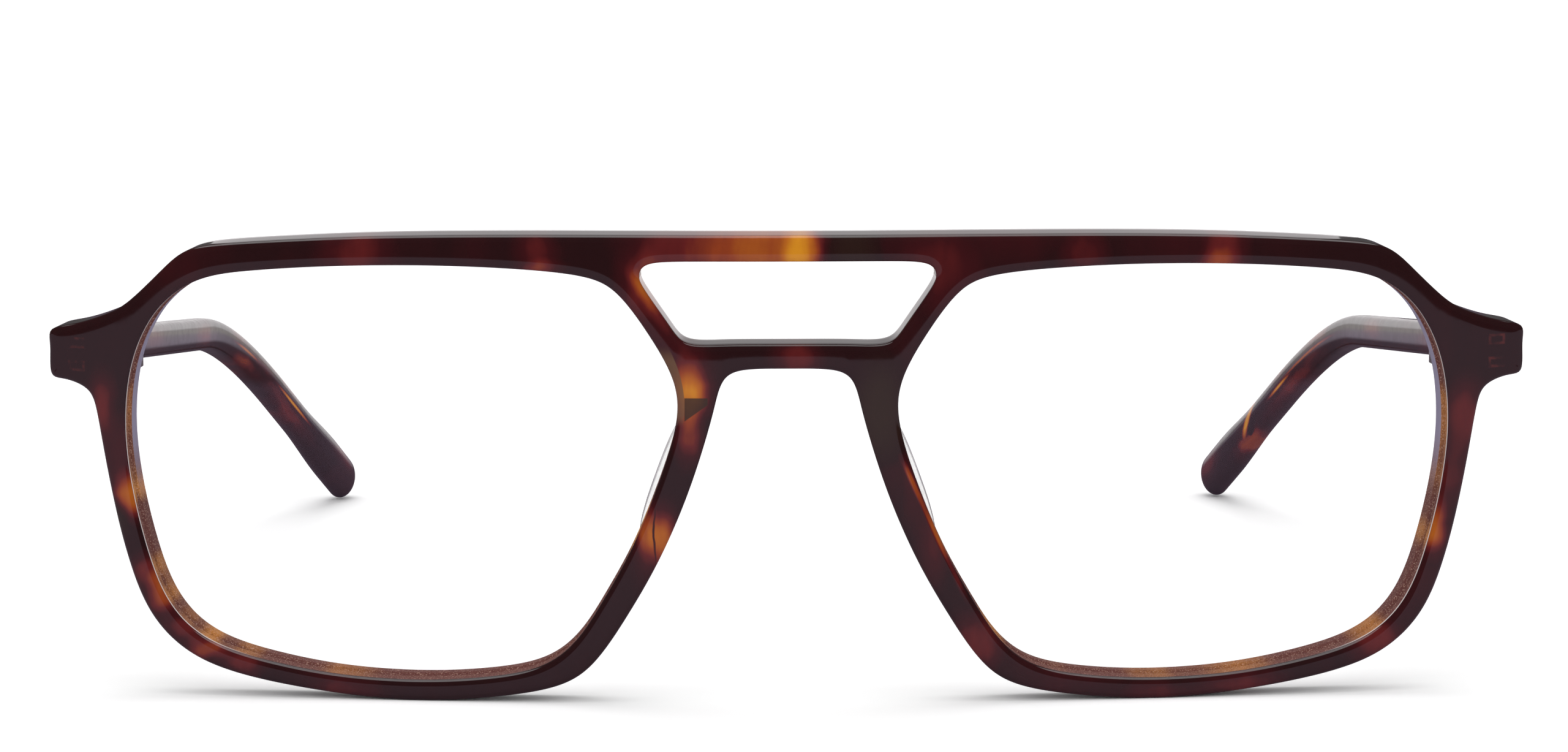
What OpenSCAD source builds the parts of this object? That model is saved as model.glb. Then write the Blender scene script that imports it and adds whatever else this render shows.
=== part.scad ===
// Aviator eyeglasses in acetate, with a double bridge.
// Every piece is drawn in the front's own frame: x to the wearer's left, z up the front, y from the
// front's face back towards the ears. The last step leans the whole pair so that both rims and both
// temple tips stand on the table, z = 0, with the middle of the pair over the origin.
// Left and right are the wearer's.

/* [Front] */
// Width of each lens opening
lens_w = 54.4; // [50:0.2:58]
// Height of each lens opening
lens_h = 41.4; // [38:0.2:45]
// Distance between the two lens openings at their widest
bridge_w = 21.5; // [19:0.5:25]
// Thickness of the front
front_t = 4.5; // [4:0.1:5.5]
// Radius of the front's curve round the face
face_r = 310; // [240:5:450]
// Width of the rim beside and below each lens
rim_w = 2.2; // [1.8:0.1:3.2]
// Height of the bar over each lens
brow_h = 3.1; // [2.6:0.1:4.5]
// Length of the end piece beyond the rim
end_l = 5.2; // [4.8:0.1:7]
// Height of the end piece
end_h = 5.2; // [5:0.1:6.5]
// Height of the top bar above the bridge window
top_bar_h = 2.55; // [2:0.05:3.2]
// Height of the window between the two bridge bars
window_h = 8.1; // [6:0.1:9]
// Height of the lower bridge bar
low_bar_h = 2.45; // [2:0.05:3.5]
// Bevel along the front edges
front_edge = 0.4; // [0.2:0.05:0.5]
// Bevel along the rear edges
rear_edge = 0.35; // [0.2:0.05:0.5]

/* [Lenses] */
// Thickness of a lens
lens_t = 2; // [1.8:0.1:2.4]
// Distance from the front's face back to the lens
lens_set = 0.9; // [0.7:0.1:1.1]
// Depth of the V groove in the rim
groove_d = 0.6; // [0.4:0.05:0.8]
// Half the width of the V groove
groove_half_w = 0.6; // [0.4:0.05:0.7]
// Clearance between a lens and its rim
lens_fit = 0.04; // [0.02:0.01:0.08]

/* [Nose pads] */
// Length of a nose pad along the rim
pad_l = 14.5; // [12:0.5:15.5]
// Width of a nose pad on the rim
pad_w = 2.8; // [2.4:0.1:3.2]
// How far a nose pad stands back from the rim
pad_d = 4.6; // [3:0.2:6]
// How far the back of a nose pad flares away from the nose
pad_flare = 0.7; // [0.4:0.1:1.2]
// Glue line between pad and rim
glue = 0.03; // [0.01:0.01:0.06]

/* [Hinges] */
// Diameter of the knuckles
knuckle_d = 2.8; // [2.4:0.1:3]
// Height of the whole hinge
hinge_h = 4.2; // [3.8:0.1:4.6]
// Height of the middle knuckle
middle_h = 1.4; // [1.2:0.1:1.6]
// Gap between neighbouring knuckles
knuckle_gap = 0.1; // [0.06:0.02:0.14]
// Thickness of the hinge plates
plate_t = 0.8; // [0.6:0.05:1]
// Length of the plate in the temple
leaf_l = 8; // [7:0.5:10]
// Diameter of the screw
screw_d = 1.4; // [1.2:0.1:1.6]
// Diameter of the screw head
head_d = 2.2; // [2:0.1:2.4]
// Radial clearance of the screw in the knuckles
screw_fit = 0.03; // [0.02:0.01:0.06]
// Clearance of a plate in its pocket
plate_fit = 0.03; // [0.02:0.01:0.06]
// Gap between the end piece and the temple when the temple is open
butt_gap = 0.12; // [0.1:0.02:0.2]

/* [Temples] */
// Length of a temple from the front to the bend behind the ear
temple_l = 87; // [78:1:94]
// Length of a temple from the bend to the tip
drop_l = 47; // [42:1:54]
// Fall of the straight part against the front's normal, in degrees
temple_fall = 9.5; // [6:0.5:12]
// Fall of the part behind the ear, in degrees
drop_fall = 33; // [26:0.5:40]
// Turn of the straight part towards the head, in degrees
temple_turn = 4; // [2:0.5:5]
// Turn of the part behind the ear towards the head, in degrees
drop_turn = 16.5; // [10:0.5:20]
// Length of the curve at the bend
bend_l = 14; // [10:1:20]
// Thickness of a temple at the hinge
temple_t = 3.9; // [3.6:0.1:4.4]
// Thickness of a temple along its length
arm_t = 3; // [2.8:0.1:3.6]
// Height of a temple at the hinge
temple_h = 4.9; // [4.7:0.1:5.6]
// Height of a temple along its straight part
arm_h = 3.5; // [3.4:0.1:4.8]
// Height of the temple's paddle near its tip
paddle_h = 5; // [4.6:0.1:6.4]
// Thickness of the temple's paddle near its tip
paddle_t = 3.3; // [3:0.1:4]
// Diameter of the core wire
wire_d = 1.3; // [1:0.05:1.5]
// Clearance of the core wire in its channel
wire_fit = 0.04; // [0.02:0.01:0.08]
// Distance from the end of the core wire to the tip of the temple
wire_short = 9; // [6:1:20]

/* [Hidden] */
$fn = 48;
// Overlap that lets one solid cut cleanly through another
eps = 0.1;
// Points of an outline between two of its control points
outline_steps = 3;
// Flats round the large cylinders
round_steps = 720;

// The outlines are drawn for one size of frame. These knots stretch the drawing to the sizes above:
// the bridge, the lens, the rim and the end piece each stretch by themselves.
DRAWN_X = [0, 10.75, 65.15, 67.35, 72.6];
DRAWN_Z = [0, 2.2, 43.5, 46.6];
out_x = [0, bridge_w / 2, bridge_w / 2 + lens_w, bridge_w / 2 + lens_w + rim_w,
         bridge_w / 2 + lens_w + rim_w + end_l];
out_z = [0, rim_w, rim_w + lens_h, rim_w + lens_h + brow_h];
top_z = out_z[3];

// One line through the knots, carried on straight past both ends
function stretch(v, from, to) =
    let (last = len(from) - 2, hit = [for (i = [0:last]) if (v < from[i + 1]) i],
         i = len(hit) ? hit[0] : last)
    to[i] + (v - from[i]) * (to[i + 1] - to[i]) / (from[i + 1] - from[i]);
function placed(p) = [stretch(p[0], DRAWN_X, out_x), stretch(p[1], DRAWN_Z, out_z)];

// Closed smooth curve (uniform cubic B-spline) with outline_steps points per control point
function spline_point(a, b, c, d, u) =
    (pow(1 - u, 3) * a + (3 * pow(u, 3) - 6 * u * u + 4) * b
     + (-3 * pow(u, 3) + 3 * u * u + 3 * u + 1) * c + pow(u, 3) * d) / 6;
function spline(p, steps = outline_steps) =
    let (n = len(p))
    [for (i = [0:n - 1], j = [0:steps - 1])
        spline_point(p[(i + n - 1) % n], p[i], p[(i + 1) % n], p[(i + 2) % n], j / steps)];
function mirrored(p) = [for (i = [len(p) - 1:-1:0]) [-p[i][0], p[i][1]]];

// Control points of the lens opening, from its top corner near the nose, clockwise from the front
LENS_SHAPE = [
    [19.3, 42.7], [27.1, 43.3], [35.8, 43.5], [45.1, 43.2], [52.2, 42.6], [57.5, 41.9], [61.2, 39.4],
    [63.4, 36.2], [64.9, 32], [65.4, 26.4], [64.8, 20.7], [63.5, 14.9], [61.6, 9], [57.7, 5.2],
    [51.3, 3.5], [44.2, 2.3], [36, 2], [29.3, 2.5], [23.8, 3.5], [20.5, 6.4], [18.3, 10.1],
    [15.4, 15.1], [13.1, 20.8], [11.4, 25.6], [10.5, 29.7], [11.2, 33], [13.5, 36.9], [16.5, 41.2]
];
lens_outline = spline([for (p = LENS_SHAPE) placed(p)]);

// Half of the front's outline: the brow, the end piece, the rim down and back up to the nose arch
BROW_SHAPE = [
    [8, 46.6], [24, 46.6], [39.9, 46.3], [50, 45.6], [56, 45.1], [59.1, 44.5], [61.3, 42.3],
    [64.8, 38.8]
];
RIM_SHAPE = [
    [67.4, 24], [66.3, 17.9], [65.1, 13], [63.3, 7.9], [59.8, 4.2], [55, 2.2], [47, 0.8], [37, -0.2],
    [28, 0.6], [21.8, 1.7], [18.7, 4.2], [15.6, 9.1], [12.8, 13.9], [10.1, 20], [8.3, 25.4],
    [7.1, 29.7]
];
// The end piece, as distances from its outer face and from the height of its middle
end_x = out_x[4];
end_z = placed([0, 33.7])[1];
END_TOP = [[6, 1.6], [2.5, 0.3], [-0.4, 0], [0.1, -1.7]];
END_FOOT = [[-0.3, 0], [1.2, 0.2], [3.9, -0.7], [4.5, -2.6]];
end_shape = [
    for (p = END_TOP) [end_x - p[0], end_z + end_h / 2 + p[1]],
    for (p = END_FOOT) [end_x - p[0], end_z - end_h / 2 + p[1]]
];
window_top = top_z - top_bar_h;
window_foot = window_top - window_h;
arch_z = window_foot - low_bar_h;
bridge_k = bridge_w / 21.5;
arch_shape = [[6.4 * bridge_k, arch_z - 0.4], [3.5 * bridge_k, arch_z], [1 * bridge_k, arch_z]];
front_half = concat([for (p = BROW_SHAPE) placed(p)], end_shape, [for (p = RIM_SHAPE) placed(p)],
                    arch_shape);
front_outline = spline(concat(front_half, mirrored(front_half)));

// Half of the window between the bridge bars, as a share of its height below the top bar
WINDOW_SHAPE = [
    [3.9, 0], [10.4, 0], [14.1, 0.01], [14.6, 0.19], [14, 0.34], [11.3, 0.81], [10.2, 1.03], [6.4, 1],
    [2.1, 1]
];
window_half = [for (p = WINDOW_SHAPE) [p[0] * bridge_k, window_top - p[1] * window_h]];
window_outline = spline(concat(window_half, mirrored(window_half)), 2);

// The front's face is an upright cylinder. A wall runs back square to it, and fans a little in height.
mid_z = rim_w + lens_h / 2;
wall_fan_r = 760;
function face_y(x) = face_r - sqrt(face_r * face_r - x * x);
// The point of the outline p that lies the depth k behind the face
function at_depth(p, k) =
    let (y = face_y(p[0]))
    [p[0] - k * p[0] / face_r, y + k * (face_r - y) / face_r, p[1] - k * (p[1] - mid_z) / wall_fan_r];
// An outline moved outwards by d. Outlines run clockwise from the front, so outwards is to the left.
function grown(c, d) =
    let (n = len(c))
    [for (i = [0:n - 1])
        let (t = c[(i + 1) % n] - c[(i + n - 1) % n], m = norm(t)) c[i] + d * [-t[1], t[0]] / m];
function ring(c, k, d = 0) = [for (p = grown(c, d)) at_depth(p, k)];
function flat_ring(c, y, d = 0) = [for (p = grown(c, d)) [p[0], y, p[1]]];

// A closed solid through rings of equal length, each cap a fan from its own centre
module loft(rings, centres) {
    n = len(rings[0]);
    m = len(rings);
    points = concat([for (r = rings, p = r) p], centres);
    sides = [
        for (i = [0:m - 2], j = [0:n - 1])
        let (a = i * n + j, b = i * n + (j + 1) % n)
        each [[a, a + n, b + n], [a, b + n, b]]
    ];
    first = [for (j = [0:n - 1]) [m * n, j, (j + 1) % n]];
    last = [for (j = [0:n - 1]) [m * n + 1, (m - 1) * n + (j + 1) % n, (m - 1) * n + j]];
    polyhedron(points, concat(sides, first, last), convexity = 8);
}

// The same for the front's whole outline, whose caps fan from one centre in each rim
module mirrored_loft(rings, centre) {
    n = len(rings[0]);
    h = n / 2;
    m = len(rings);
    ends = [rings[0][0][1], rings[m - 1][0][1]];
    points = concat([for (r = rings, p = r) p],
                    [for (y = ends, s = [1, -1]) [s * centre[0], y, centre[1]]]);
    sides = [
        for (i = [0:m - 2], j = [0:n - 1])
        let (a = i * n + j, b = i * n + (j + 1) % n)
        each [[a, a + n, b + n], [a, b + n, b]]
    ];
    caps = [
        for (e = [0, 1])
        let (o = e * (m - 1) * n, r = m * n + 2 * e, l = r + 1)
        each [
            for (j = [0:h - 2]) [r, o + j, o + j + 1],
            for (j = [h:n - 2]) [l, o + j, o + j + 1],
            [r, o + h - 1, o + h], [l, o + n - 1, o], [r, o + h, l], [l, o, r]
        ]
    ];
    half = len(caps) / 2;
    turned = [for (i = [0:2 * half - 1]) let (c = caps[i]) i < half ? c : [c[0], c[2], c[1]]];
    polyhedron(points, concat(sides, turned), convexity = 8);
}

// The cutting tools start and end well clear of the front, and so do the upright cylinders
spare = 5;
near_y = -spare;
far_y = face_y(end_x) + front_t + spare;
sheet_h = top_z + 2 * spare;

// The bent sheet that the front is cut from, between two upright cylinders
module sheet() {
    intersection() {
        difference() {
            translate([0, face_r, -spare]) cylinder(r = face_r, h = sheet_h, $fn = round_steps);
            translate([0, face_r, -spare - eps])
                cylinder(r = face_r - front_t, h = sheet_h + 2 * eps, $fn = round_steps);
        }
        translate([-end_x - spare, -2 * spare, -2 * spare])
            cube([2 * (end_x + spare), far_y + 2 * spare, sheet_h + 2 * spare]);
    }
}

// A cut with a bevelled edge on both faces. out is 1 for a hole, -1 for the front's own outline.
function cut_rings(c, out) = [
    flat_ring(c, near_y, out * (front_edge + eps)),
    ring(c, -eps, out * (front_edge + eps)),
    ring(c, front_edge, 0)
];
function cut_rings_back(c, out) = [
    ring(c, front_t - rear_edge, 0),
    ring(c, front_t + eps, out * (rear_edge + eps)),
    flat_ring(c, far_y, out * (rear_edge + eps))
];

// Depth of the middle of the lens edge behind the face, which follows the lens's own curve
lens_r = face_r - lens_set;
function groove_k(p) = lens_set + lens_t / 2 + pow(p[1] - mid_z, 2) / (2 * lens_r);
function groove_ring(c, dk, d) = [for (p = grown(c, d)) at_depth(p, groove_k(p) + dk)];

lens_centre_x = bridge_w / 2 + lens_w / 2;
module lens_hole() {
    loft(concat(cut_rings(lens_outline, 1),
                [groove_ring(lens_outline, -groove_half_w, 0), groove_ring(lens_outline, 0, groove_d),
                 groove_ring(lens_outline, groove_half_w, 0)],
                cut_rings_back(lens_outline, 1)),
         [[lens_centre_x, near_y, mid_z], [lens_centre_x, far_y, mid_z]]);
}

module both_sides() {
    children();
    mirror([1, 0, 0]) children();
}

// The hinge's own frame: its origin on the rear face of the end piece, x outwards along that face,
// y straight back from it, z up
seat_in = 4.1;
seat_x = end_x - seat_in;
seat_turn = asin(seat_x / face_r);
seat = at_depth([seat_x, end_z], front_t);
module at_hinge() translate([seat[0], seat[1], end_z]) rotate([0, 0, seat_turn]) children();

// The knuckles stand just clear of the front, inwards of the temple
axis_clear = 0.15;
axis_y = knuckle_d / 2 + axis_clear;
axis_x = -2;
knuckle_h = (hinge_h - middle_h) / 2 - knuckle_gap;
// The front plate runs from the inner side of the knuckles to plate_end, with two prongs behind it
plate_end = 2.9;
plate_start = axis_x - knuckle_d / 2;
prong = [1.5, 2.2, 1];
prong_x = 1.3;
prong_pitch = 2.3;
// How far a pocket is cut out past the face it opens in
pocket_open = 1;

// Plate and anchor prongs of the front leaf, larger by g all round for their pocket
module front_anchor(g = 0) {
    open = g > 0 ? pocket_open : 0;
    translate([plate_start - g, -plate_t - g, -hinge_h / 2 - g])
        cube([plate_end - plate_start + 2 * g, plate_t + g + open, hinge_h + 2 * g]);
    for (s = [-1, 1])
        translate([prong_x - g, -plate_t - prong[1] - g, s * prong_pitch / 2 - prong[2] / 2 - g])
            cube([prong[0] + 2 * g, prong[1] + 2 * g, prong[2] + 2 * g]);
}

module screw_hole(h) translate([axis_x, axis_y, -h / 2]) cylinder(d = screw_d + 2 * screw_fit, h = h);

// A knuckle on the hinge's axis, from height z up
module knuckle(z, h) translate([axis_x, axis_y, z]) cylinder(d = knuckle_d, h = h);

// The screw's head is sunk in the top knuckle and has one slot
head_h = 0.6;
head_sink = 0.35;
slot_w = 0.3;
slot_d = 0.3;
module front_hinge() {
    color("#8d8f92") at_hinge() difference() {
        union() {
            front_anchor();
            for (z = [-hinge_h / 2, hinge_h / 2 - knuckle_h]) {
                knuckle(z, knuckle_h);
                translate([axis_x - knuckle_d / 2, -eps, z]) cube([knuckle_d, axis_y + eps, knuckle_h]);
            }
        }
        screw_hole(hinge_h + 2 * eps);
        translate([axis_x, axis_y, hinge_h / 2 - head_sink])
            cylinder(d = head_d + 2 * screw_fit, h = head_sink + eps);
    }
}

module hinge_screw() {
    color("#b9bbbd") at_hinge() translate([axis_x, axis_y, 0]) difference() {
        union() {
            translate([0, 0, -hinge_h / 2]) cylinder(d = screw_d, h = hinge_h - head_sink);
            translate([0, 0, hinge_h / 2 - head_sink]) cylinder(d = head_d, h = head_h);
        }
        translate([-head_d, -slot_w / 2, hinge_h / 2 - head_sink + head_h - slot_d])
            cube([2 * head_d, slot_w, slot_d + eps]);
    }
}

// The temple's inner face lies just outside the knuckles. Its leaf is sunk in that face.
temple_gap = 0.12;
inner_x = axis_x + knuckle_d / 2 + temple_gap;
leaf_turn = temple_turn - seat_turn;
// How far the leaf reaches forward of the hinge's axis
leaf_nose = 0.2;
leaf_prong = [1.1, 1, 1];
leaf_prong_at = [0.3 * leaf_l, 0.7 * leaf_l];
leaf_short = 0.4;
leaf_h = hinge_h - leaf_short;

// The leaf's own frame on the temple's inner face: x outwards, y back along the temple, z square to both
module on_temple() {
    translate([inner_x, axis_y, 0]) rotate([0, 0, leaf_turn]) rotate([-temple_fall, 0, 0]) children();
}
module leaf_anchor(g = 0) {
    open = g > 0 ? pocket_open : 0;
    translate([-open, -leaf_nose - g, -leaf_h / 2 - g])
        cube([plate_t + g + open, leaf_l + leaf_nose + 2 * g, leaf_h + 2 * g]);
    for (y = leaf_prong_at)
        translate([plate_t - g, y - leaf_prong[1] / 2 - g, -leaf_prong[2] / 2 - g])
            cube([leaf_prong[0] + 2 * g, leaf_prong[1] + 2 * g, leaf_prong[2] + 2 * g]);
}

module temple_hinge() {
    color("#8d8f92") at_hinge() difference() {
        union() {
            on_temple() leaf_anchor();
            knuckle(-middle_h / 2, middle_h);
            translate([axis_x, axis_y, -middle_h / 2])
                cube([knuckle_d / 2 + temple_gap + plate_t / 2, knuckle_d / 2, middle_h]);
        }
        screw_hole(hinge_h);
    }
}

// Centre line of a temple: straight back, a smooth bend, then down behind the ear
function heading(turn, fall) = [-sin(turn) * cos(fall), cos(turn) * cos(fall), -sin(fall)];
arm_dir = heading(temple_turn, temple_fall);
drop_dir = heading(drop_turn, drop_fall);
hinge_c = cos(seat_turn);
hinge_s = sin(seat_turn);
// The middle of the temple where it meets the end piece, in the front's frame
start_h = [inner_x + temple_t / 2, butt_gap];
start = [seat[0] + start_h[0] * hinge_c - start_h[1] * hinge_s,
         seat[1] + start_h[0] * hinge_s + start_h[1] * hinge_c, end_z];
bend = start + temple_l * arm_dir;
tip = bend + drop_l * drop_dir;
// A point of the centre line, u from 0 to 1 along the straight part, to 2 round the bend, to 3 at the tip
function centre(u) =
    let (a = bend - bend_l * arm_dir, b = bend + bend_l * drop_dir)
    u <= 1 ? start + u * (a - start)
    : u <= 2 ? let (t = u - 1) (1 - t) * (1 - t) * a + 2 * t * (1 - t) * bend + t * t * b
    : b + (u - 2) * (tip - b);
function along(u) = u <= 1 ? arm_dir : u >= 2 ? drop_dir
    : let (v = (2 - u) * arm_dir + (u - 1) * drop_dir) v / norm(v);
// Thickness, height and roundness of the section at u
SECTION_U = [0, 0.25, 1, 2.25, 2.7, 3];
section_t = [temple_t, arm_t, arm_t, arm_t, paddle_t, paddle_t];
section_h = [temple_h, arm_h, arm_h, arm_h + (paddle_h - arm_h) / 4, paddle_h, paddle_h];
section_power = [0.5, 0.5, 0.55, 0.65, 0.7, 0.7];
function smooth(t) = t * t * (3 - 2 * t);
function eased(u, list) =
    let (hit = [for (i = [0:len(SECTION_U) - 2]) if (u <= SECTION_U[i + 1]) i], i = hit[0])
    list[i] + smooth((u - SECTION_U[i]) / (SECTION_U[i + 1] - SECTION_U[i])) * (list[i + 1] - list[i]);

// A ring of n points round the centre line. power 1 gives an ellipse, less gives a rounded rectangle.
function signed_pow(v, e) = sign(v) * pow(abs(v), e);
function section(c, d, t, h, n, power) =
    let (out = cross(d, [0, 0, 1]), side = out / norm(out), up = cross(side, d))
    [for (j = [0:n - 1])
        let (a = -360 * (j + 0.5) / n)
        c + side * signed_pow(cos(a), power) * t / 2 + up * signed_pow(sin(a), power) * h / 2];
temple_sides = 24;
// The rounded tip: shares of the last stretch, and how full the section still is there
tip_round = paddle_h / 2;
tip_span = drop_l - bend_l;
TIP_ANGLES = [0, 30, 50, 65, 78, 88];
tip_least = 0.12;
function body_ring(u, k = 1, back = 0) =
    section(centre(u) - back * along(u), along(u), eased(u, section_t) * k, eased(u, section_h) * k,
            temple_sides, eased(u, section_power));
BODY_STOPS = [0.08, 0.16, 0.25, 0.5, 1, 1.15, 1.3, 1.45, 1.6, 1.75, 1.9, 2, 2.15, 2.3, 2.45, 2.6, 2.75];
// The first ring lies in the mitred plane of the end piece, slid along the temple
mitre_n = [-hinge_s, hinge_c, 0];
function slid(p) = p - ((p - start) * mitre_n) / (arm_dir * mitre_n) * arm_dir;
temple_rings = concat(
    [[for (p = body_ring(0)) slid(p)]],
    [for (u = BODY_STOPS) body_ring(u)],
    [for (a = TIP_ANGLES)
        let (u = 3 - (tip_round * (1 - sin(a))) / tip_span) body_ring(u, max(cos(a), tip_least))]
);

// The core wire starts behind the leaf's last prong and stops short of the tip
wire_sides = 10;
wire_gap = 0.3;
wire_start = axis_y - butt_gap + leaf_prong_at[1] + leaf_prong[1] / 2 + wire_gap;
wire_start_u = wire_start / (temple_l - bend_l);
wire_end_u = 3 - wire_short / tip_span;
BEND_STOPS = [0.5, 1, 1.15, 1.3, 1.45, 1.6, 1.75, 1.9, 2, 2.4];
// The wire's pointed end, and its thickness there as a share
wire_point = 2.5;
wire_least = 0.35;
function wire_ring(u, d) = section(centre(u), along(u), d, d, wire_sides, 1);
// The wire, or with a clearance g its channel, which starts the distance lead further forward
module wire_body(g = 0, lead = 0) {
    d = wire_d + 2 * g;
    first = wire_start_u - lead / (temple_l - bend_l);
    last = wire_end_u + g / tip_span;
    loft([wire_ring(first, d), for (u = BEND_STOPS) wire_ring(u, d),
          wire_ring(last - wire_point / tip_span, d), wire_ring(last, wire_least * d)],
         [centre(first), centre(last)]);
}

module temple() {
    color("#3a211d") difference() {
        loft(temple_rings, [start, centre(3)]);
        at_hinge() on_temple() leaf_anchor(plate_fit);
        wire_body(wire_fit, wire_gap + leaf_prong[1] / 2);
    }
}

module core_wire() color("#b48a3c") wire_body();

module front() {
    color("#3a211d") difference() {
        intersection() {
            sheet();
            mirrored_loft(concat(cut_rings(front_outline, -1), cut_rings_back(front_outline, -1)),
                          placed([24, 40]));
        }
        both_sides() {
            lens_hole();
            at_hinge() front_anchor(plate_fit);
        }
        loft(concat(cut_rings(window_outline, 1), cut_rings_back(window_outline, 1)),
             [[0, near_y, (window_top + window_foot) / 2], [0, far_y, (window_top + window_foot) / 2]]);
    }
}

// The lens: a bevelled edge that follows the groove, between two spheres
module lens() {
    color([0.85, 0.92, 0.95, 0.35]) intersection() {
        loft([flat_ring(lens_outline, near_y, -lens_fit),
              ring(lens_outline, front_edge, -lens_fit),
              groove_ring(lens_outline, -groove_half_w, -lens_fit),
              groove_ring(lens_outline, 0, groove_d - lens_fit),
              groove_ring(lens_outline, groove_half_w, -lens_fit),
              ring(lens_outline, front_t - rear_edge, -lens_fit),
              flat_ring(lens_outline, far_y, -lens_fit)],
             [[lens_centre_x, near_y, mid_z], [lens_centre_x, far_y, mid_z]]);
        translate([0, face_r, mid_z]) difference() {
            sphere(r = lens_r, $fn = 256);
            sphere(r = lens_r - lens_t, $fn = 256);
        }
    }
}

// The nose pad: a rounded block glued behind the rim, along the line of the nose
pad_foot = placed([14.1, 14.8]);
pad_head = placed([9.1, 28.4]);
pad_mid = (pad_foot + pad_head) / 2;
pad_up = (pad_head - pad_foot) / norm(pad_head - pad_foot);
pad_across = [-pad_up[1], pad_up[0]];
// How far the pad is drawn into the front before it is cut off at the glue line
pad_lead = 1;
pad_sides = 28;
pad_power = 0.7;
PAD_DEPTHS = [0, 0.35, 0.7, 0.9, 1];
PAD_SHARES = [1, 0.97, 0.85, 0.66, 0.42];
function pad_ring(i) =
    let (k = front_t - pad_lead + PAD_DEPTHS[i] * (pad_d + pad_lead), share = PAD_SHARES[i],
         c = pad_mid + [pad_flare * PAD_DEPTHS[i], 0])
    [for (j = [0:pad_sides - 1])
        let (a = -360 * j / pad_sides, l = share * pad_l / 2 * signed_pow(cos(a), pad_power),
             w = share * pad_w / 2 * signed_pow(sin(a), pad_power))
        at_depth(c + l * pad_up + w * pad_across, k)];
module nose_pad() {
    rings = [for (i = [0:len(PAD_DEPTHS) - 1]) pad_ring(i)];
    last = len(rings) - 1;
    color([0.93, 0.88, 0.8, 0.8]) intersection() {
        loft(rings, [at_depth(pad_mid, front_t - pad_lead),
                     at_depth(pad_mid + [pad_flare, 0], front_t + pad_d)]);
        translate([0, face_r, -spare])
            cylinder(r = face_r - front_t - glue, h = sheet_h, $fn = round_steps);
    }
}

// The lean that stands the rims and the temple tips on one table
rim_foot = [for (p = ring(front_outline, front_t / 2)) if (p[2] < rim_w) p];
tip_points = [for (r = temple_rings, p = r) p];
function lowest(points, a) = min([for (p = points) p[1] * sin(a) + p[2] * cos(a)]);
function level(lo, hi, n) =
    let (a = (lo + hi) / 2)
    n == 0 ? a : lowest(tip_points, a) > lowest(rim_foot, a) ? level(lo, a, n - 1) : level(a, hi, n - 1);
lean = level(-5, 25, 30);
front_points = concat(ring(front_outline, front_edge), ring(front_outline, 0, -front_edge),
                      ring(front_outline, front_t - rear_edge));
table_z = min(lowest(front_points, lean), lowest(tip_points, lean));
function reach(points) = [for (p = points) p[1] * cos(lean) - p[2] * sin(lean)];
mid_y = (min(reach(front_points)) + max(reach(tip_points))) / 2;
module standing() translate([0, -mid_y, -table_z]) rotate([lean, 0, 0]) children();
module left() standing() children();
module right() standing() mirror([1, 0, 0]) children();

standing() front();
left() lens();  // lens_left
right() lens();  // lens_right
left() nose_pad();  // nose_pad_left
right() nose_pad();  // nose_pad_right
left() front_hinge();  // front_hinge_left
right() front_hinge();  // front_hinge_right
left() temple_hinge();  // temple_hinge_left
right() temple_hinge();  // temple_hinge_right
left() hinge_screw();  // hinge_screw_left
right() hinge_screw();  // hinge_screw_right
left() temple();  // temple_left
right() temple();  // temple_right
left() core_wire();  // core_wire_left
right() core_wire();  // core_wire_right

// The left hinge's axis as it stands on the table, for whoever poses the temples
hinge_at = [seat[0] + axis_x * hinge_c - axis_y * hinge_s, seat[1] + axis_x * hinge_s + axis_y * hinge_c,
            end_z];
echo(lean = lean,
     hinge_pos = [hinge_at[0], hinge_at[1] * cos(lean) - hinge_at[2] * sin(lean) - mid_y,
                  hinge_at[1] * sin(lean) + hinge_at[2] * cos(lean) - table_z],
     hinge_axis = [0, -sin(lean), cos(lean)]);
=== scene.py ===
# %% [markdown]
# # Aviator eyeglasses in tortoise acetate
# The solids come packed from the CAD step, with a fold joint at each hinge. The metal pieces only get a
# finish. The front, the lenses, the pads and the temples are drawn again here, on the same sizes, with
# the rounded and polished edges that a drum gives them. Left and right are the wearer's, and the
# wearer's left is at +X.

import math

import bmesh
import bpy
import numpy as np
from mathutils import Matrix, Vector, geometry


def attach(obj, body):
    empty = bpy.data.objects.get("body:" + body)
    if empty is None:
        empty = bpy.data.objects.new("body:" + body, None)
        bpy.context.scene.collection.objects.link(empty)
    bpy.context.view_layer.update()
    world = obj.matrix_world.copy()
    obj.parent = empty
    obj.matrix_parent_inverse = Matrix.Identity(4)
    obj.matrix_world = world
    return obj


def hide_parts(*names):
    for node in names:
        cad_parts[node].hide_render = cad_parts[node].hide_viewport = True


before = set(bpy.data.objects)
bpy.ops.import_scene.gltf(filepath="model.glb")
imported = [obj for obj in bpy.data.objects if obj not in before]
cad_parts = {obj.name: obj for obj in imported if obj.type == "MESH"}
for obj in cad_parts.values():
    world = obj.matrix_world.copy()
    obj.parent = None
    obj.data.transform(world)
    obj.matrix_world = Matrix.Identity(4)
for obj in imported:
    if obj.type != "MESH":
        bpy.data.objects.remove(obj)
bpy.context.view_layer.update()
MM = 0.001

# %% [markdown]
# ## The camera
# The pair was photographed from two thirds of a metre with a long lens, a little above the table.
# Place, heading and focal length come from fitting the front's outline and its openings to the picture.

# %% Camera
IMAGE_W = 2560
SENSOR_W = 36
FOCAL_PX = 10144.0
CENTRE_SHIFT_PX = 6.03
YAW, PITCH, ROLL = (math.radians(a) for a in (-0.486, 7.566, -0.096))
CAMERA_AT = Vector((-5.09, -666.84, 112.08)) * MM
NEAREST, FARTHEST = 0.02, 40

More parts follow.
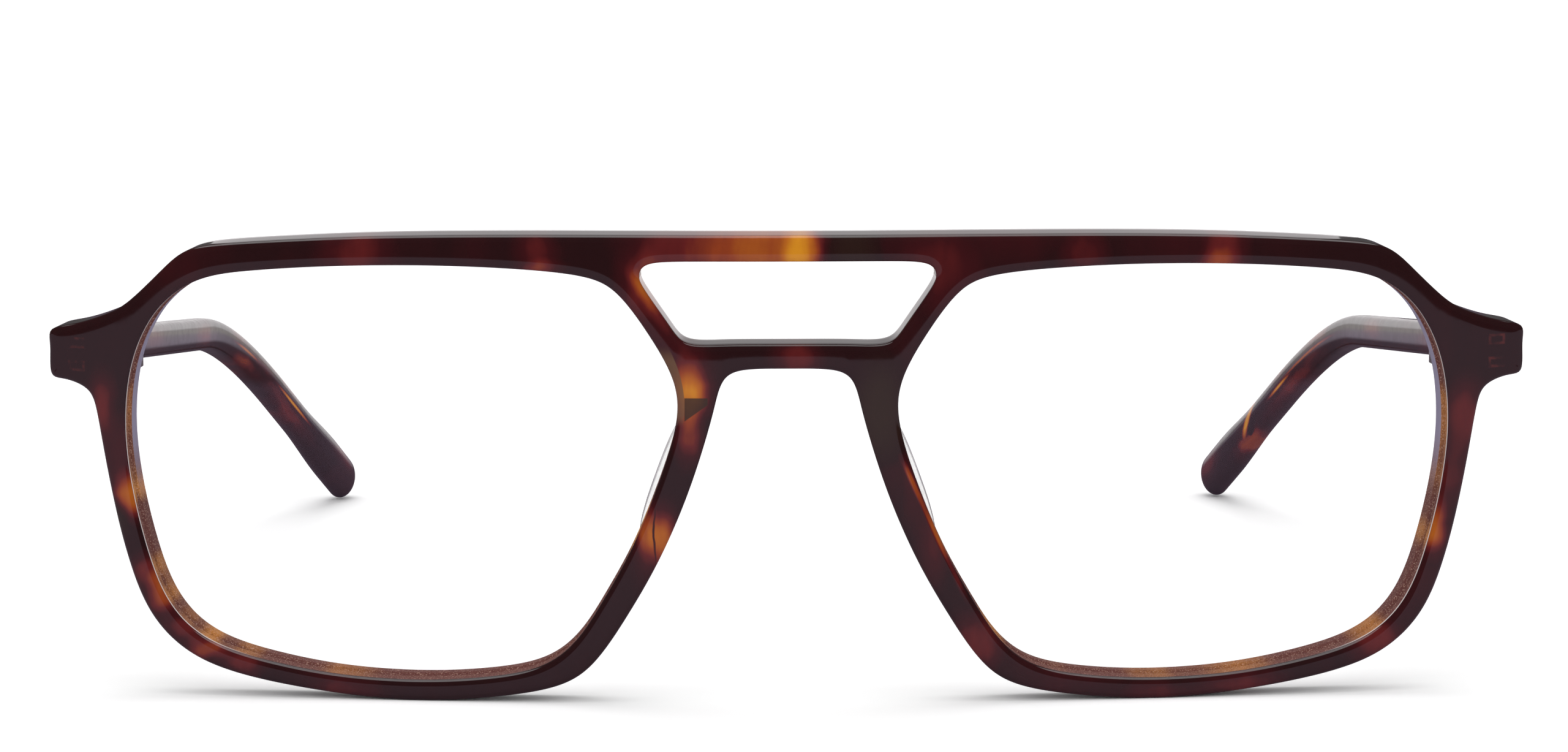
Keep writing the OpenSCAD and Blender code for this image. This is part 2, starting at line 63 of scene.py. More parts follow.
camera_data = bpy.data.cameras.new("photo_camera")
camera_data.sensor_width = SENSOR_W
camera_data.lens = FOCAL_PX / IMAGE_W * SENSOR_W
camera_data.shift_x = -CENTRE_SHIFT_PX / IMAGE_W
camera_data.clip_start = NEAREST
camera_data.clip_end = FARTHEST
camera = bpy.data.objects.new("photo_camera", camera_data)
bpy.context.scene.collection.objects.link(camera)
bpy.context.scene.camera = camera

forward = Vector((-math.sin(YAW) * math.cos(PITCH), math.cos(YAW) * math.cos(PITCH), -math.sin(PITCH)))
level = Vector((math.cos(YAW), math.sin(YAW), 0))
above = level.cross(forward)
right = level * math.cos(ROLL) + above * math.sin(ROLL)
up = above * math.cos(ROLL) - level * math.sin(ROLL)
turn = Matrix((right, up, -forward)).transposed().to_4x4()
camera.matrix_world = Matrix.Translation(CAMERA_AT) @ turn
print("focal length, mm", round(camera_data.lens, 1))

# %% [markdown]
# ## The front's own frame
# The front is drawn flat, in x and z, and bent on an upright cylinder. Depth runs square to that
# cylinder, and with it heights move a little towards the middle, as if all depth lines met far behind.
# The whole pair then leans, so that the rims and the temple tips stand on one table. These are the CAD
# model's sizes.

# %% Sizes and the bent sheet
FACE_R = 310.0  # radius of the cylinder
FRONT_T = 4.5  # thickness of the sheet
FAN_R = 760.0  # how far behind the face the depth lines would meet, in height
MID_Z = 22.9  # height of the middle of the lenses
LEAN = math.radians(3.31068)
MID_Y, TABLE_Z = 66.8633, 0.2639  # what brings the pair's middle to y = 0 and its feet to z = 0
END_X = 72.5  # the ends of the front


def face_y(x):
    """Depth of the bent face."""
    return FACE_R - np.sqrt(FACE_R**2 - x**2)


def at_depth(p, k):
    """Outline points p at depth k: x and y go towards the cylinder's axis, and z towards the middle."""
    x, z = p[..., 0], p[..., 1]
    y = face_y(x)
    behind = y + k * (FACE_R - y) / FACE_R
    return np.stack([x - k * x / FACE_R, behind, z - k * (z - MID_Z) / FAN_R], axis=-1)


def standing(p, side=1):
    """Turns points about x by the lean, puts them on the table in metres, and mirrors x for side -1."""
    y = p[..., 1] * math.cos(LEAN) - p[..., 2] * math.sin(LEAN) - MID_Y
    z = p[..., 1] * math.sin(LEAN) + p[..., 2] * math.cos(LEAN) - TABLE_Z
    return np.stack([side * p[..., 0], y, z], axis=-1) * MM


print("the ends of the face lie behind its middle by, mm", round(float(face_y(END_X)), 2))

# %% [markdown]
# ## Outlines
# An acetate front is milled along smooth curves. A uniform cubic B-spline gives such a curve from a few
# control points and never wiggles. Walked at equal steps, it gives the bands along the edges even
# faces. The outlines run clockwise as seen from the front.

# %% Outline curves
OUTLINE_STEP, WINDOW_STEP = 0.3, 0.25
# The opening for the wearer's left lens
LENS = [
    (19.3, 42.8), (27.1, 43.4), (35.8, 43.6), (45.1, 43.3), (52.2, 42.7), (57.5, 42),
    (61.2, 39.49), (63.4, 36.28), (64.9, 32.07), (65.4, 26.46), (64.8, 20.75), (63.5, 14.93),
    (61.6, 9.02), (57.7, 5.21), (51.3, 3.5), (44.2, 2.3), (36, 2), (29.3, 2.5),
    (23.8, 3.5), (20.5, 6.41), (18.3, 10.12), (15.4, 15.13), (13.1, 20.85), (11.4, 25.66),
    (10.5, 29.77), (11.2, 33.08), (13.5, 36.98), (16.5, 41.29),
]
# The left half of the front, from the middle of the brow round to the middle of the lower bar
FRONT_HALF = [
    (8, 46.7), (24, 46.7), (39.9, 46.4), (50, 45.7), (56, 45.2), (59.1, 44.6), (61.3, 42.4),
    (64.8, 38.89), (66.55, 37.98), (70.05, 36.68), (72.95, 36.38), (72.45, 34.68), (72.85, 31.18),
    (71.35, 31.38), (68.65, 30.48), (68.05, 28.58), (67.4, 24.05), (66.3, 17.94), (65.1, 13.03),
    (63.3, 7.91), (59.8, 4.21), (55, 2.2), (47, 0.8), (37, -0.2), (28, 0.6), (21.8, 1.7), (18.7, 4.21),
    (15.6, 9.12), (12.8, 13.93), (10.1, 20.04), (8.3, 25.46), (7.1, 29.77), (6.4, 33.2), (3.5, 33.6),
    (1, 33.6),
]
# The left half of the window between the two bars
WINDOW_HALF = [
    (3.9, 44.15), (10.4, 44.15), (14.1, 44.07), (14.6, 42.61), (14, 41.4), (11.3, 37.59), (10.2, 35.81),
    (6.4, 36.05), (2.1, 36.05),
]


def mirrored(points):
    """The same points with x negated, in the opposite order."""
    return [(-x, z) for x, z in reversed(points)]


def spline(points, per=24):
    """Closed uniform cubic B-spline: neighbours blended by (1-u)^3, 3u^3-6u^2+4 and so on, over 6."""
    p = np.array(points)
    u = np.arange(per) / per
    blends = (1 - u) ** 3, 3 * u**3 - 6 * u**2 + 4, -3 * u**3 + 3 * u**2 + 3 * u + 1, u**3
    near = np.stack([np.roll(p, 1 - i, axis=0) for i in range(4)])
    return np.einsum("ku,knc->nuc", np.stack(blends) / 6, near).reshape(-1, 2)


def walked(curve, step):
    """The closed curve at equal steps of its length."""
    closed = np.vstack([curve, curve[:1]])
    length = np.r_[0, np.cumsum(np.linalg.norm(np.diff(closed, axis=0), axis=1))]
    at = np.linspace(0, length[-1], int(length[-1] / step), endpoint=False)
    return np.stack([np.interp(at, length, closed[:, i]) for i in (0, 1)], axis=1)


def outward(curve):
    """Unit normals of a clockwise curve: the tangent from both neighbours, turned to the left."""
    t = np.roll(curve, -1, axis=0) - np.roll(curve, 1, axis=0)
    t /= np.linalg.norm(t, axis=1, keepdims=True)
    return np.stack([-t[:, 1], t[:, 0]], axis=1)


front_curve = walked(spline(FRONT_HALF + mirrored(FRONT_HALF)), OUTLINE_STEP)
lens_curve = walked(spline(LENS), OUTLINE_STEP)
window_curve = walked(spline(WINDOW_HALF + mirrored(WINDOW_HALF)), WINDOW_STEP)
print("outline points", len(front_curve), len(lens_curve), len(window_curve))

# %% [markdown]
# ## Putting numbers into meshes
# Every new piece is a stack of rings of points. A band of faces joins each ring to the next, and a cap
# closes an end. One helper makes the object, points its faces outwards, shades them smooth, and marks
# only the creases that are real.

# %% Mesh helpers
def band(first, second, count):
    """Quads between two rings whose numbering starts at first and second."""
    j = np.arange(count)
    k = (j + 1) % count
    return np.stack([first + j, second + j, second + k, first + k], axis=1).tolist()


def bands(rings, start=0):
    """Quads between all neighbouring rings of a stack of equal rings."""
    count = len(rings[0])
    faces = []
    for i in range(len(rings) - 1):
        faces += band(start + i * count, start + (i + 1) * count, count)
    return faces


def end_faces(rings, count):
    """One flat face over the first ring of a stack and one over the last."""
    last = (rings - 1) * count
    return [list(range(count)), list(range(last + count - 1, last - 1, -1))]


def point_outwards(mesh):
    """Winds a closed mesh so that its faces look outwards."""
    work = bmesh.new()
    work.from_mesh(mesh)
    bmesh.ops.recalc_face_normals(work, faces=work.faces)
    work.to_mesh(mesh)
    work.free()


def piece(name, points, faces, body, replaces, crease=40, attributes=None):
    """An object at the origin from points in metres. Edges that turn by more than crease degrees stay
    sharp. The attributes are numbers or vectors at the points, which the finishes read."""
    mesh = bpy.data.meshes.new(name)
    mesh.from_pydata(np.asarray(points).reshape(-1, 3).tolist(), [], faces)
    for key, values in (attributes or {}).items():
        values = np.asarray(values, np.float32)
        vector = values.ndim == 2 and values.shape[1] == 3
        layer = mesh.attributes.new(key, "FLOAT_VECTOR" if vector else "FLOAT", "POINT")
        layer.data.foreach_set("vector" if vector else "value", values.ravel())
    obj = bpy.data.objects.new(name, mesh)
    bpy.context.scene.collection.objects.link(obj)
    point_outwards(mesh)
    mesh.shade_smooth()
    mesh.set_sharp_from_angle(angle=math.radians(crease))
    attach(obj, body)
    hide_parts(replaces)
    print(name, "faces", len(mesh.polygons))
    return obj


print("two rings of four points close with faces",
      len(bands([range(4)] * 2) + end_faces(2, 4)))

# %% [markdown]
# ## The front: edges
# After milling, the front tumbles in drums of wooden chips until its edges are round: quickly near the
# wall, and hardly at all far from it. The offset -w ln(sin a) at depth d a, for a slope a up to a right
# angle, is such a curve. Its long tail makes the mirrored table bend along the rims. The back edge is a
# plain quarter ellipse.

# %% Edge bands of the front
CROWN_W, CROWN_D = 0.30, 0.28
CROWN_SLOPES = np.radians((0.2, 0.4, 0.8, 1.6, 3, 6, 10, 16, 24, 34, 46, 58, 70, 80, 90))
CROWN_END = CROWN_D * np.pi / 2  # the depth at which the front edge has become the wall
BACK_W, BACK_D = 0.36, 0.33
WINDOW_BACK_D = 1.3  # the window's back edge is rounded deeper
BACK_STEPS, WALL_STEPS = 7, 5
PAST_BACK = 1.05  # the last ring lies on the flat back, just past the edge
# The buffed start of a lens wall, half the groove's width, its depth, and the flat behind it
BUFFED, GROOVE_HALF, GROOVE_D, LAND = 0.3, 0.6, 0.6, 0.12
LENS_SET, LENS_T = 0.9, 2.0  # how far the lens lies behind the face, and its thickness
LENS_R = FACE_R - LENS_SET
# The most that a band may take: of a bend's radius, in mm, and of the way to the next outline
BEND_SHARE, WIDEST, GAP_SHARE = 0.6, 2.6, 0.46
STRAIGHT = 1e-4  # a curve that turns less than this counts as turning this much
SMOOTHINGS = 30


def room(curve, inward, others):
    """How wide a band may be at each point: a share of the curve's radius where it turns that way, and
    less than half of the way to the nearest other outline, smoothed along the curve."""
    t = np.roll(curve, -1, axis=0) - curve
    course = np.arctan2(t[:, 1], t[:, 0])
    bend = (course - np.roll(course, 1) + np.pi) % (2 * np.pi) - np.pi
    tight = np.maximum(-bend if inward else bend, STRAIGHT) / np.linalg.norm(t, axis=1)
    nearest = np.min(np.linalg.norm(curve[:, None] - others[None], axis=2), axis=1)
    wide = np.minimum(np.minimum(BEND_SHARE / tight, WIDEST), GAP_SHARE * nearest)
    for _ in range(SMOOTHINGS):
        wide = np.minimum(wide, (np.roll(wide, 1) + wide + np.roll(wide, -1)) / 3)
    return wide


def seat_depth(curve):
    """Depth of the middle of the lens edge: it follows the lens's own sphere as z leaves the middle."""
    return LENS_SET + LENS_T / 2 + (curve[:, 1] - MID_Z) ** 2 / (2 * LENS_R)


def edge_rings(curve, sign, others, groove=False, back_d=BACK_D):
    """Rings from the face over the front edge, down the wall and round the back edge to the rear face.

    sign is -1 for the front's own outline, where the band goes inwards, and 1 for a hole. Each ring is
    the outline moved by an offset along its normals and set at a depth."""
    n = outward(curve)
    most = room(curve, sign < 0, others)
    back = np.minimum(BACK_W, most)
    none, one = np.zeros(len(curve)), np.ones(len(curve))
    steps = []
    for a in CROWN_SLOPES:
        offset = -CROWN_W * math.log(math.sin(a))
        steps.append((most * (1 - np.exp(-offset / most)), CROWN_D * a * one))
    steps[0] = (steps[0][0], none)
    if groove:
        seat = seat_depth(curve)
        steps += [(none, (CROWN_END + BUFFED) * one), (none, seat - GROOVE_HALF)]
        steps += [(GROOVE_D * one / 2, seat - GROOVE_HALF / 2), (GROOVE_D * one, seat)]
        steps += [(GROOVE_D * one / 2, seat + GROOVE_HALF / 2), (none, seat + GROOVE_HALF)]
        steps += [(none, seat + GROOVE_HALF + LAND)]
    else:
        steps += [(none, k * one) for k in np.linspace(CROWN_END, FRONT_T - back_d, WALL_STEPS)[1:-1]]
    for a in np.radians(np.linspace(90, 0, BACK_STEPS)):
        steps.append((back * (1 - math.sin(a)), FRONT_T - back_d * (1 - math.cos(a)) * one))
    steps.append((back * PAST_BACK, FRONT_T * one))
    flat = [curve + sign * d[:, None] * n for d, k in steps]
    return flat, [at_depth(p, k) for p, (d, k) in zip(flat, steps)], [k for d, k in steps]


print("the polished front edge goes back by, mm", round(CROWN_END, 2))

# %% [markdown]
# ## The front: faces
# Between the bands, the face and the back are plain bent sheet. Blender's constrained triangulation
# fills them: the bands' inner rings go in as fixed edges, with a grid of points between them. Triangles
# that fall into an opening are dropped by counting how many edges lie to one side of them.

# %% Filling the faces
GRID_STEP, GRID_HALF_W, GRID_H = 0.7, 73, 47
# How far the grid keeps from the rings, and in how many parts that is measured, to save memory
GRID_CLEAR, GRID_PARTS = 0.4, 40
# Points closer than the first count as one, and triangles smaller than the second as none
SAME_PLACE, NO_AREA = 1e-7, 1e-6


def crossings(points, rings):
    """True for points inside: an odd number of ring edges lies to their right."""
    odd = np.zeros(len(points), bool)
    for ring in rings:
        a, b = ring, np.roll(ring, -1, axis=0)
        z = points[:, 1][:, None]
        over = (a[:, 1][None] > z) != (b[:, 1][None] > z)
        with np.errstate(divide="ignore", invalid="ignore"):
            x = a[:, 0] + (z - a[:, 1]) * (b[:, 0] - a[:, 0]) / (b[:, 1] - a[:, 1])
        odd ^= (np.sum(over & (points[:, 0][:, None] < x), axis=1) % 2).astype(bool)
    return odd


def sheet_points(rings):
    """A grid of points inside the rings, none of them close to a ring."""
    across, upwards = np.arange(-GRID_HALF_W, GRID_HALF_W, GRID_STEP), np.arange(0, GRID_H, GRID_STEP)
    grid = np.stack(np.meshgrid(across, upwards), axis=-1).reshape(-1, 2)
    grid = grid[crossings(grid, rings)]
    every = np.vstack(rings)
    gaps = [np.min(np.linalg.norm(part[:, None] - every[None], axis=2), axis=1)
            for part in np.array_split(grid, GRID_PARTS)]
    return grid[np.concatenate(gaps) > GRID_CLEAR]


def fill(rings, starts, extra, extra_start):
    """Triangles over the region between rings, as numbers into the piece's own points."""
    points = np.vstack(rings + [extra])
    runs = [*zip(starts, rings), (extra_start, extra)]
    number = np.concatenate([first + np.arange(len(run)) for first, run in runs])
    edges, base = [], 0
    for ring in rings:
        j = np.arange(len(ring))
        edges += np.stack([base + j, base + (j + 1) % len(ring)], axis=1).tolist()
        base += len(ring)
    out = geometry.delaunay_2d_cdt([Vector(p) for p in points], edges, [], 0, SAME_PLACE)
    source = np.array([o[0] for o in out[3]])
    triangles = np.array(out[2])
    corners = points[source[triangles]]
    (ax, az), (bx, bz) = (corners[:, 1] - corners[:, 0]).T, (corners[:, 2] - corners[:, 0]).T
    # Where ring points lie exactly in line, a triangle without area comes out too
    kept = crossings(corners.mean(axis=1), rings) & (np.abs(ax * bz - az * bx) > NO_AREA)
    return number[source[triangles[kept]]].tolist()


print("the face gets a grid with a step of, mm", GRID_STEP)

# %% [markdown]
# ## The front as one closed surface
# The sheet becomes one closed mesh: four edge bands, with the face and the back filled between them.
# Every point carries three marks for the finish: whether it lies on the sawn wall of an opening,
# whether on the paler stretch behind the groove, and its place on the flat sheet, so that the pattern
# runs on over the edges.

# %% The front
HINGE_PLATE = (68.2, 33.84, 2.9, 1.9)  # x and z of its middle, and half its width and height
PLATE_GAP = 0.12
SAWN_SHIFT = 1.4  # the sawn wall takes its pattern from so far inside the rim
PALE_FROM = 60  # the wall behind the groove is paler beyond this x, towards the temple
OPENINGS, WINDOW = (1, 2), 3  # their numbers in the list of outlines
TOUCH, LAND_START = 0.01, 0.05


def recess(p):
    """How far the back is let in under the hinge plates, so that plate and back don't coincide."""
    x, z, w, h = HINGE_PLATE
    return PLATE_GAP * ((np.abs(np.abs(p[:, 0]) - x) < w) & (np.abs(p[:, 1] - z) < h))


def front_edges(outlines):
    """The edge bands of all outlines: inwards from the front's own, and outwards round each hole."""
    sets = []
    for i, curve in enumerate(outlines):
        others = np.vstack(outlines[:i] + outlines[i + 1:])
        back_d = WINDOW_BACK_D if i == WINDOW else BACK_D
        sets.append(edge_rings(curve, 1 if i else -1, others, i in OPENINGS, back_d))
    return sets


def make_front():
    """The bands joined, then the face and the back filled between their inner rings."""
    outlines = [front_curve, lens_curve, np.array(mirrored(lens_curve.tolist())), window_curve]
    sets = front_edges(outlines)
    points, faces, seat, sheet, pale = [], [], [], [], []
    starts, ends, total = [], [], 0
    for i, (flat, rings, depths) in enumerate(sets):
        count = len(rings[0])
        faces += bands(rings, total)
        starts.append(total)
        ends.append(total + (len(rings) - 1) * count)
        points += rings
        for p, k in zip(flat, depths):
            on_wall = (k > CROWN_END + BUFFED - TOUCH) & (k < FRONT_T - BACK_D + TOUCH)
            sawn = on_wall & (i in OPENINGS)
            behind = k > seat_depth(p) + GROOVE_HALF + LAND_START
            seat.append(1.0 * sawn)
            pale.append(1.0 * (sawn & behind & (np.abs(p[:, 0]) > PALE_FROM)))
            sheet.append(p + SAWN_SHIFT * sawn[:, None] * outward(outlines[i]))
        total += len(rings) * count
    for k, side, first in ((0.0, 0, starts), (FRONT_T, -1, ends)):
        inner = [flat[side] for flat, rings, depths in sets]
        extra = sheet_points(inner)
        points.append(at_depth(extra, k - (recess(extra) if k else 0)))
        seat.append(np.zeros(len(extra)))
        pale.append(np.zeros(len(extra)))
        sheet.append(extra)
        faces += fill(inner, first, extra, total)
        total += len(extra)
    sheet = np.vstack(sheet)
    sheet = np.stack([sheet[:, 0], 0 * sheet[:, 0], sheet[:, 1]], axis=1)
    marks = {"seat": np.concatenate(seat), "sheet": sheet, "pale": np.concatenate(pale)}
    return standing(np.vstack(points)), faces, marks


front_points, front_faces, front_marks = make_front()
front = piece("acetate_front", front_points, front_faces, "front_frame", "front",
              attributes=front_marks)

# %% [markdown]
# ## The lenses
# A clear lens is a thin bowl between two spheres, with a ground bevel that sits in the rim's groove.
# Rings shrink from its outline to its middle, each point on its sphere, and three more rings make the
# bevel.

# %% Lenses
LENS_FIT = 0.04
LENS_RINGS, INNERMOST = 14, 0.06
SIDES_OF_WEARER = (("left", 1), ("right", -1))


def on_sphere(p, radius):
    """Points of the plane on a sphere round the face's centre: y is the face radius less the root of
    the sphere's radius squared minus x squared minus the height over the middle squared."""
    x, z = p[..., 0], p[..., 1]
    y = FACE_R - np.sqrt(radius**2 - x**2 - (z - MID_Z) ** 2)
    return np.stack([x, y, z], axis=-1)


def make_lens():
    """Front sphere, bevelled edge and rear sphere, as rings from one sphere's middle to the other's."""
    n = outward(lens_curve)
    seat = seat_depth(lens_curve)
    middle = lens_curve.mean(axis=0)

    def rim(offset, shift):
        """The lens outline moved outwards by an offset, and back from the groove by a shift."""
        return at_depth(lens_curve + offset * n, seat + shift)

    ends = [rim(-LENS_FIT, shift)[:, [0, 2]] for shift in (-LENS_T / 2, LENS_T / 2)]
    shares = np.linspace(INNERMOST, 1, LENS_RINGS)
    rings = [on_sphere(middle + s * (ends[0] - middle), LENS_R) for s in shares]
    rings += [rim(-LENS_FIT, -GROOVE_HALF), rim(GROOVE_D - LENS_FIT, 0), rim(-LENS_FIT, GROOVE_HALF)]
    rings += [on_sphere(middle + s * (ends[1] - middle), LENS_R - LENS_T) for s in shares[::-1]]
    poles = [on_sphere(middle, LENS_R), on_sphere(middle, LENS_R - LENS_T)]
    faces = bands(rings)
    count = len(lens_curve)
    total = len(rings) * count
    j = np.arange(count)
    k = (j + 1) % count
    faces += np.stack([0 * j + total, j, k], axis=1).tolist()
    faces += np.stack([0 * j + total + 1, total - count + k, total - count + j], axis=1).tolist()
    # The bevel: the last ring of one sphere, the three of the edge and the first of the other sphere
    clear = np.zeros(LENS_RINGS - 1)
    bevel = np.repeat(np.r_[clear, np.ones(5), clear], count)
    return np.vstack(rings + [np.array(poles)]), faces, np.r_[bevel, 0, 0]


lens_points, lens_faces, lens_bevel = make_lens()
lenses = {
    side: piece("clear_lens_" + side, standing(lens_points, s), lens_faces, "front_frame",
                "lens_" + side, attributes={"bevel": lens_bevel})
    for side, s in SIDES_OF_WEARER
}

# %% [markdown]
# ## The nose pads
# The pads are small blocks glued behind the rim and polished round. Their cross section is a stretched
# circle. It keeps its size near the rim and shrinks to nothing at the back, while its middle moves away
# from the nose.

# %% Nose pads
# The pad's middle line runs between these points of x and z
PAD_FOOT, PAD_HEAD = np.array((14.1, 14.83)), np.array((9.1, 28.46))
# Length, width and depth, and how far the back end stands away from the nose
PAD_L, PAD_W, PAD_D, PAD_FLARE = 14.5, 2.8, 4.6, 0.7
# The pad's surface is worked out from so far inside the front, and starts behind the glue
PAD_SUNK, PAD_GLUE = 1, 0.03
PAD_SIDES, PAD_RINGS = 72, 18
PAD_CORNERS, PAD_ROUNDING = 0.7, 0.38
POLE = 0.02  # a rounded end closes with a flat face of this share of the section


def rounded(angle, power):
    """Cosine and sine raised to a power with their sign kept: below 1 the circle fills its corners."""
    c, s = np.cos(angle), np.sin(angle)
    return np.sign(c) * np.abs(c) ** power, np.sign(s) * np.abs(s) ** power


def make_pad():
    """Rings from the glue line back, each scaled by 1 minus its depth cubed, to the power 0.38."""
    along = (PAD_HEAD - PAD_FOOT) / np.linalg.norm(PAD_HEAD - PAD_FOOT)
    across = np.array((-along[1], along[0]))
    c, s = rounded(np.linspace(0, -2 * np.pi, PAD_SIDES, endpoint=False), PAD_CORNERS)
    start = (PAD_SUNK + PAD_GLUE) / (PAD_D + PAD_SUNK)
    t = start + (1 - start) * np.sin(np.linspace(0, np.pi / 2, PAD_RINGS))
    share = (1 - t**3) ** PAD_ROUNDING
    rings = []
    for depth, size in zip(t, np.maximum(share, POLE)):
        middle = (PAD_FOOT + PAD_HEAD) / 2 + np.array((PAD_FLARE * depth, 0))
        p = middle + size * (PAD_L / 2 * c[:, None] * along + PAD_W / 2 * s[:, None] * across)
        rings.append(at_depth(p, FRONT_T - PAD_SUNK + depth * (PAD_D + PAD_SUNK)))
    return np.vstack(rings), bands(rings) + end_faces(len(rings), PAD_SIDES)


pad_points, pad_faces = make_pad()
pads = {
    side: piece("pad_" + side, standing(pad_points, s), pad_faces, "front_frame",
                "nose_pad_" + side)
    for side, s in SIDES_OF_WEARER
}

# %% [markdown]
# ## The temples
# A temple is cut from the same sheet, with a brass wire pressed into it, then bent behind the ear. Its
# centre line is straight, then a curve with two straight tangents, then straight again.

# %% Temple centre line
SEAT_X = 68.45  # where the hinge sits behind the end piece
SEAT_TURN = math.asin(SEAT_X / FACE_R)
START = np.array((68.864, 12.482, 33.776))  # the middle of the temple's end face
# From the end face to the corner of the bend, from there to the tip, and how far the bend is eased
TEMPLE_L, DROP_L, BEND_L = 87.0, 47.0, 19.0
# How far the straight arm and the drop turn towards the head, and how steeply they fall
ARM_TURN, ARM_FALL = 4, 9.5
DROP_TURN, DROP_FALL = 16.5, 33
UPRIGHT = (0, 0, 1.0)


def heading(turn_deg, fall_deg):
    """Unit vector that points back, turned towards the head and falling by the two angles."""
    t, f = math.radians(turn_deg), math.radians(fall_deg)
    return np.array((-math.sin(t) * math.cos(f), math.cos(t) * math.cos(f), -math.sin(f)))


ARM, DROP = heading(ARM_TURN, ARM_FALL), heading(DROP_TURN, DROP_FALL)
BEND = START + TEMPLE_L * ARM
TIP = BEND + DROP_L * DROP


def centre_line(u):
    """Straight up to u = 1, a curve between its two tangents up to 2, and straight to the tip at 3."""
    a, b = BEND - BEND_L * ARM, BEND + BEND_L * DROP
    u = u[:, None]
    t = u - 1
    curve = (1 - t) ** 2 * a + 2 * t * (1 - t) * BEND + t**2 * b
    return np.where(u <= 1, START + u * (a - START), np.where(u <= 2, curve, b + (u - 2) * (TIP - b)))


def direction(u):
    """Unit tangent of the centre line, blended from one heading to the other round the bend."""
    t = np.clip(u - 1, 0, 1)[:, None]
    d = (1 - t) * ARM + t * DROP
    return d / np.linalg.norm(d, axis=1, keepdims=True)


line_steps = np.diff(centre_line(np.linspace(0, 3, 300)), axis=0)
print("temple along its centre line, mm", round(float(np.linalg.norm(line_steps, axis=1).sum()), 1))

# %% [markdown]
# ## The temple's section
# The section is tall at the hinge, slim along the head and broad at the tip, so it is written as its
# size at a few stops, joined by smooth steps. It is a circle whose cosine and sine are raised to a
# power: half makes a rounded rectangle and one an ellipse. The front end is cut on the plane of the end
# piece.

# %% Temples
PADDLE_H = 5.0
# Stops on the centre line, and the section there: how thick, how tall, and the power of its circle
STOPS = (0, 0.25, 1, 2.25, 2.7, 3)
THICK = (3.9, 3, 3, 3, 3.3, 3.3)
TALL = (4.9, 3.5, 3.5, 3.875, PADDLE_H, PADDLE_H)
POWER = (0.5, 0.5, 0.58, 0.88, 0.95, 1.0)
SIDES = 72
ARM_RINGS, BEND_RINGS, DROP_RINGS, TIP_RINGS, LAST_DEG = 90, 50, 40, 14, 89
MITRE_SMALL, MITRE_ROUND = 0.93, 0.1  # the end face is this much smaller, and its edge this long


def eased(u, values):
    """Values at the stops, joined by smooth steps of the form t squared times 3 - 2t."""
    stops, v = np.array(STOPS), np.array(values)
    i = np.clip(np.searchsorted(stops, u, side="left") - 1, 0, len(stops) - 2)
    t = (u - stops[i]) / (stops[i + 1] - stops[i])
    return v[i] + t * t * (3 - 2 * t) * (v[i + 1] - v[i])


def temple_stations():
    """Where the rings lie on the centre line, and how much of the section each has at the round tip."""
    cap = PADDLE_H / 2 / (DROP_L - BEND_L)
    tip = np.radians(np.linspace(0, LAST_DEG, TIP_RINGS))
    arm, bend = np.linspace(0, 1, ARM_RINGS), np.linspace(1, 2, BEND_RINGS)[1:]
    drop = np.linspace(2, 3 - cap, DROP_RINGS)[1:-1]
    u = np.r_[arm, bend, drop, 3 - cap * (1 - np.sin(tip))]
    return u, np.r_[np.ones(len(u) - TIP_RINGS), np.maximum(np.cos(tip), POLE)]


def make_temple():
    """Rounded rectangles round the centre line, mitred at the end piece and rounded off at the tip."""
    u, full = temple_stations()
    thick, tall = eased(u, THICK) * full, eased(u, TALL) * full
    d = direction(u)
    side = np.cross(d, UPRIGHT)
    side /= np.linalg.norm(side, axis=1, keepdims=True)
    rise = np.cross(side, d)
    c, s = rounded(-2 * np.pi * (np.arange(SIDES) + 0.5) / SIDES, eased(u, POWER)[:, None])
    rings = (centre_line(u)[:, None] + side[:, None] * (c * thick[:, None] / 2)[..., None]
             + rise[:, None] * (s * tall[:, None] / 2)[..., None])
    # The first rings slide along the temple on to the mitred plane of the end piece
    normal = np.array((-math.sin(SEAT_TURN), math.cos(SEAT_TURN), 0))
    slid = rings[0] - (((rings[0] - START) @ normal) / (ARM @ normal))[:, None] * ARM
    small = START + MITRE_SMALL * (slid - START)
    rings = np.concatenate([small[None], slid[None] + MITRE_ROUND * ARM, rings[2:]])
    length = np.cumsum(np.linalg.norm(np.diff(centre_line(u), axis=0), axis=1))
    run = np.r_[0, MITRE_ROUND, length[1:]]
    marks = {"run": run[:, None] * np.ones(SIDES), "side": c, "rise": s}
    return rings.reshape(-1, 3), bands(rings) + end_faces(len(rings), SIDES), marks


print("rings of a temple", len(temple_stations()[0]))

# %% [markdown]
# ## Room for the hinge leaf
# The leaf is sunk flush in the temple's inner face. Two surfaces in one place flicker in a render, so
# the acetate under it is let in a little. To find the places under it, points are turned back into the
# leaf's own frame.

# %% Under the hinge leaf
LEAF_SEAT = np.array((67.456, 12.04, 33.776))
HINGE_AXIS = np.array((-0.48, 1.55, 0))  # from the seat
# In the leaf's own frame: half its height, where it starts and ends, its face, and the gap under it
LEAF_HALF_H, LEAF_FROM, LEAF_TO, LEAF_FACE, LEAF_GAP = 1.5, 0.1, 7.6, 0.5, 0.1


def turned_back(p, angle, a, b):
    """Points turned back by an angle from axis a to b: a cos + b sin, and b cos - a sin."""
    q = p.copy()
    q[:, a] = p[:, a] * math.cos(angle) + p[:, b] * math.sin(angle)
    q[:, b] = p[:, b] * math.cos(angle) - p[:, a] * math.sin(angle)
    return q


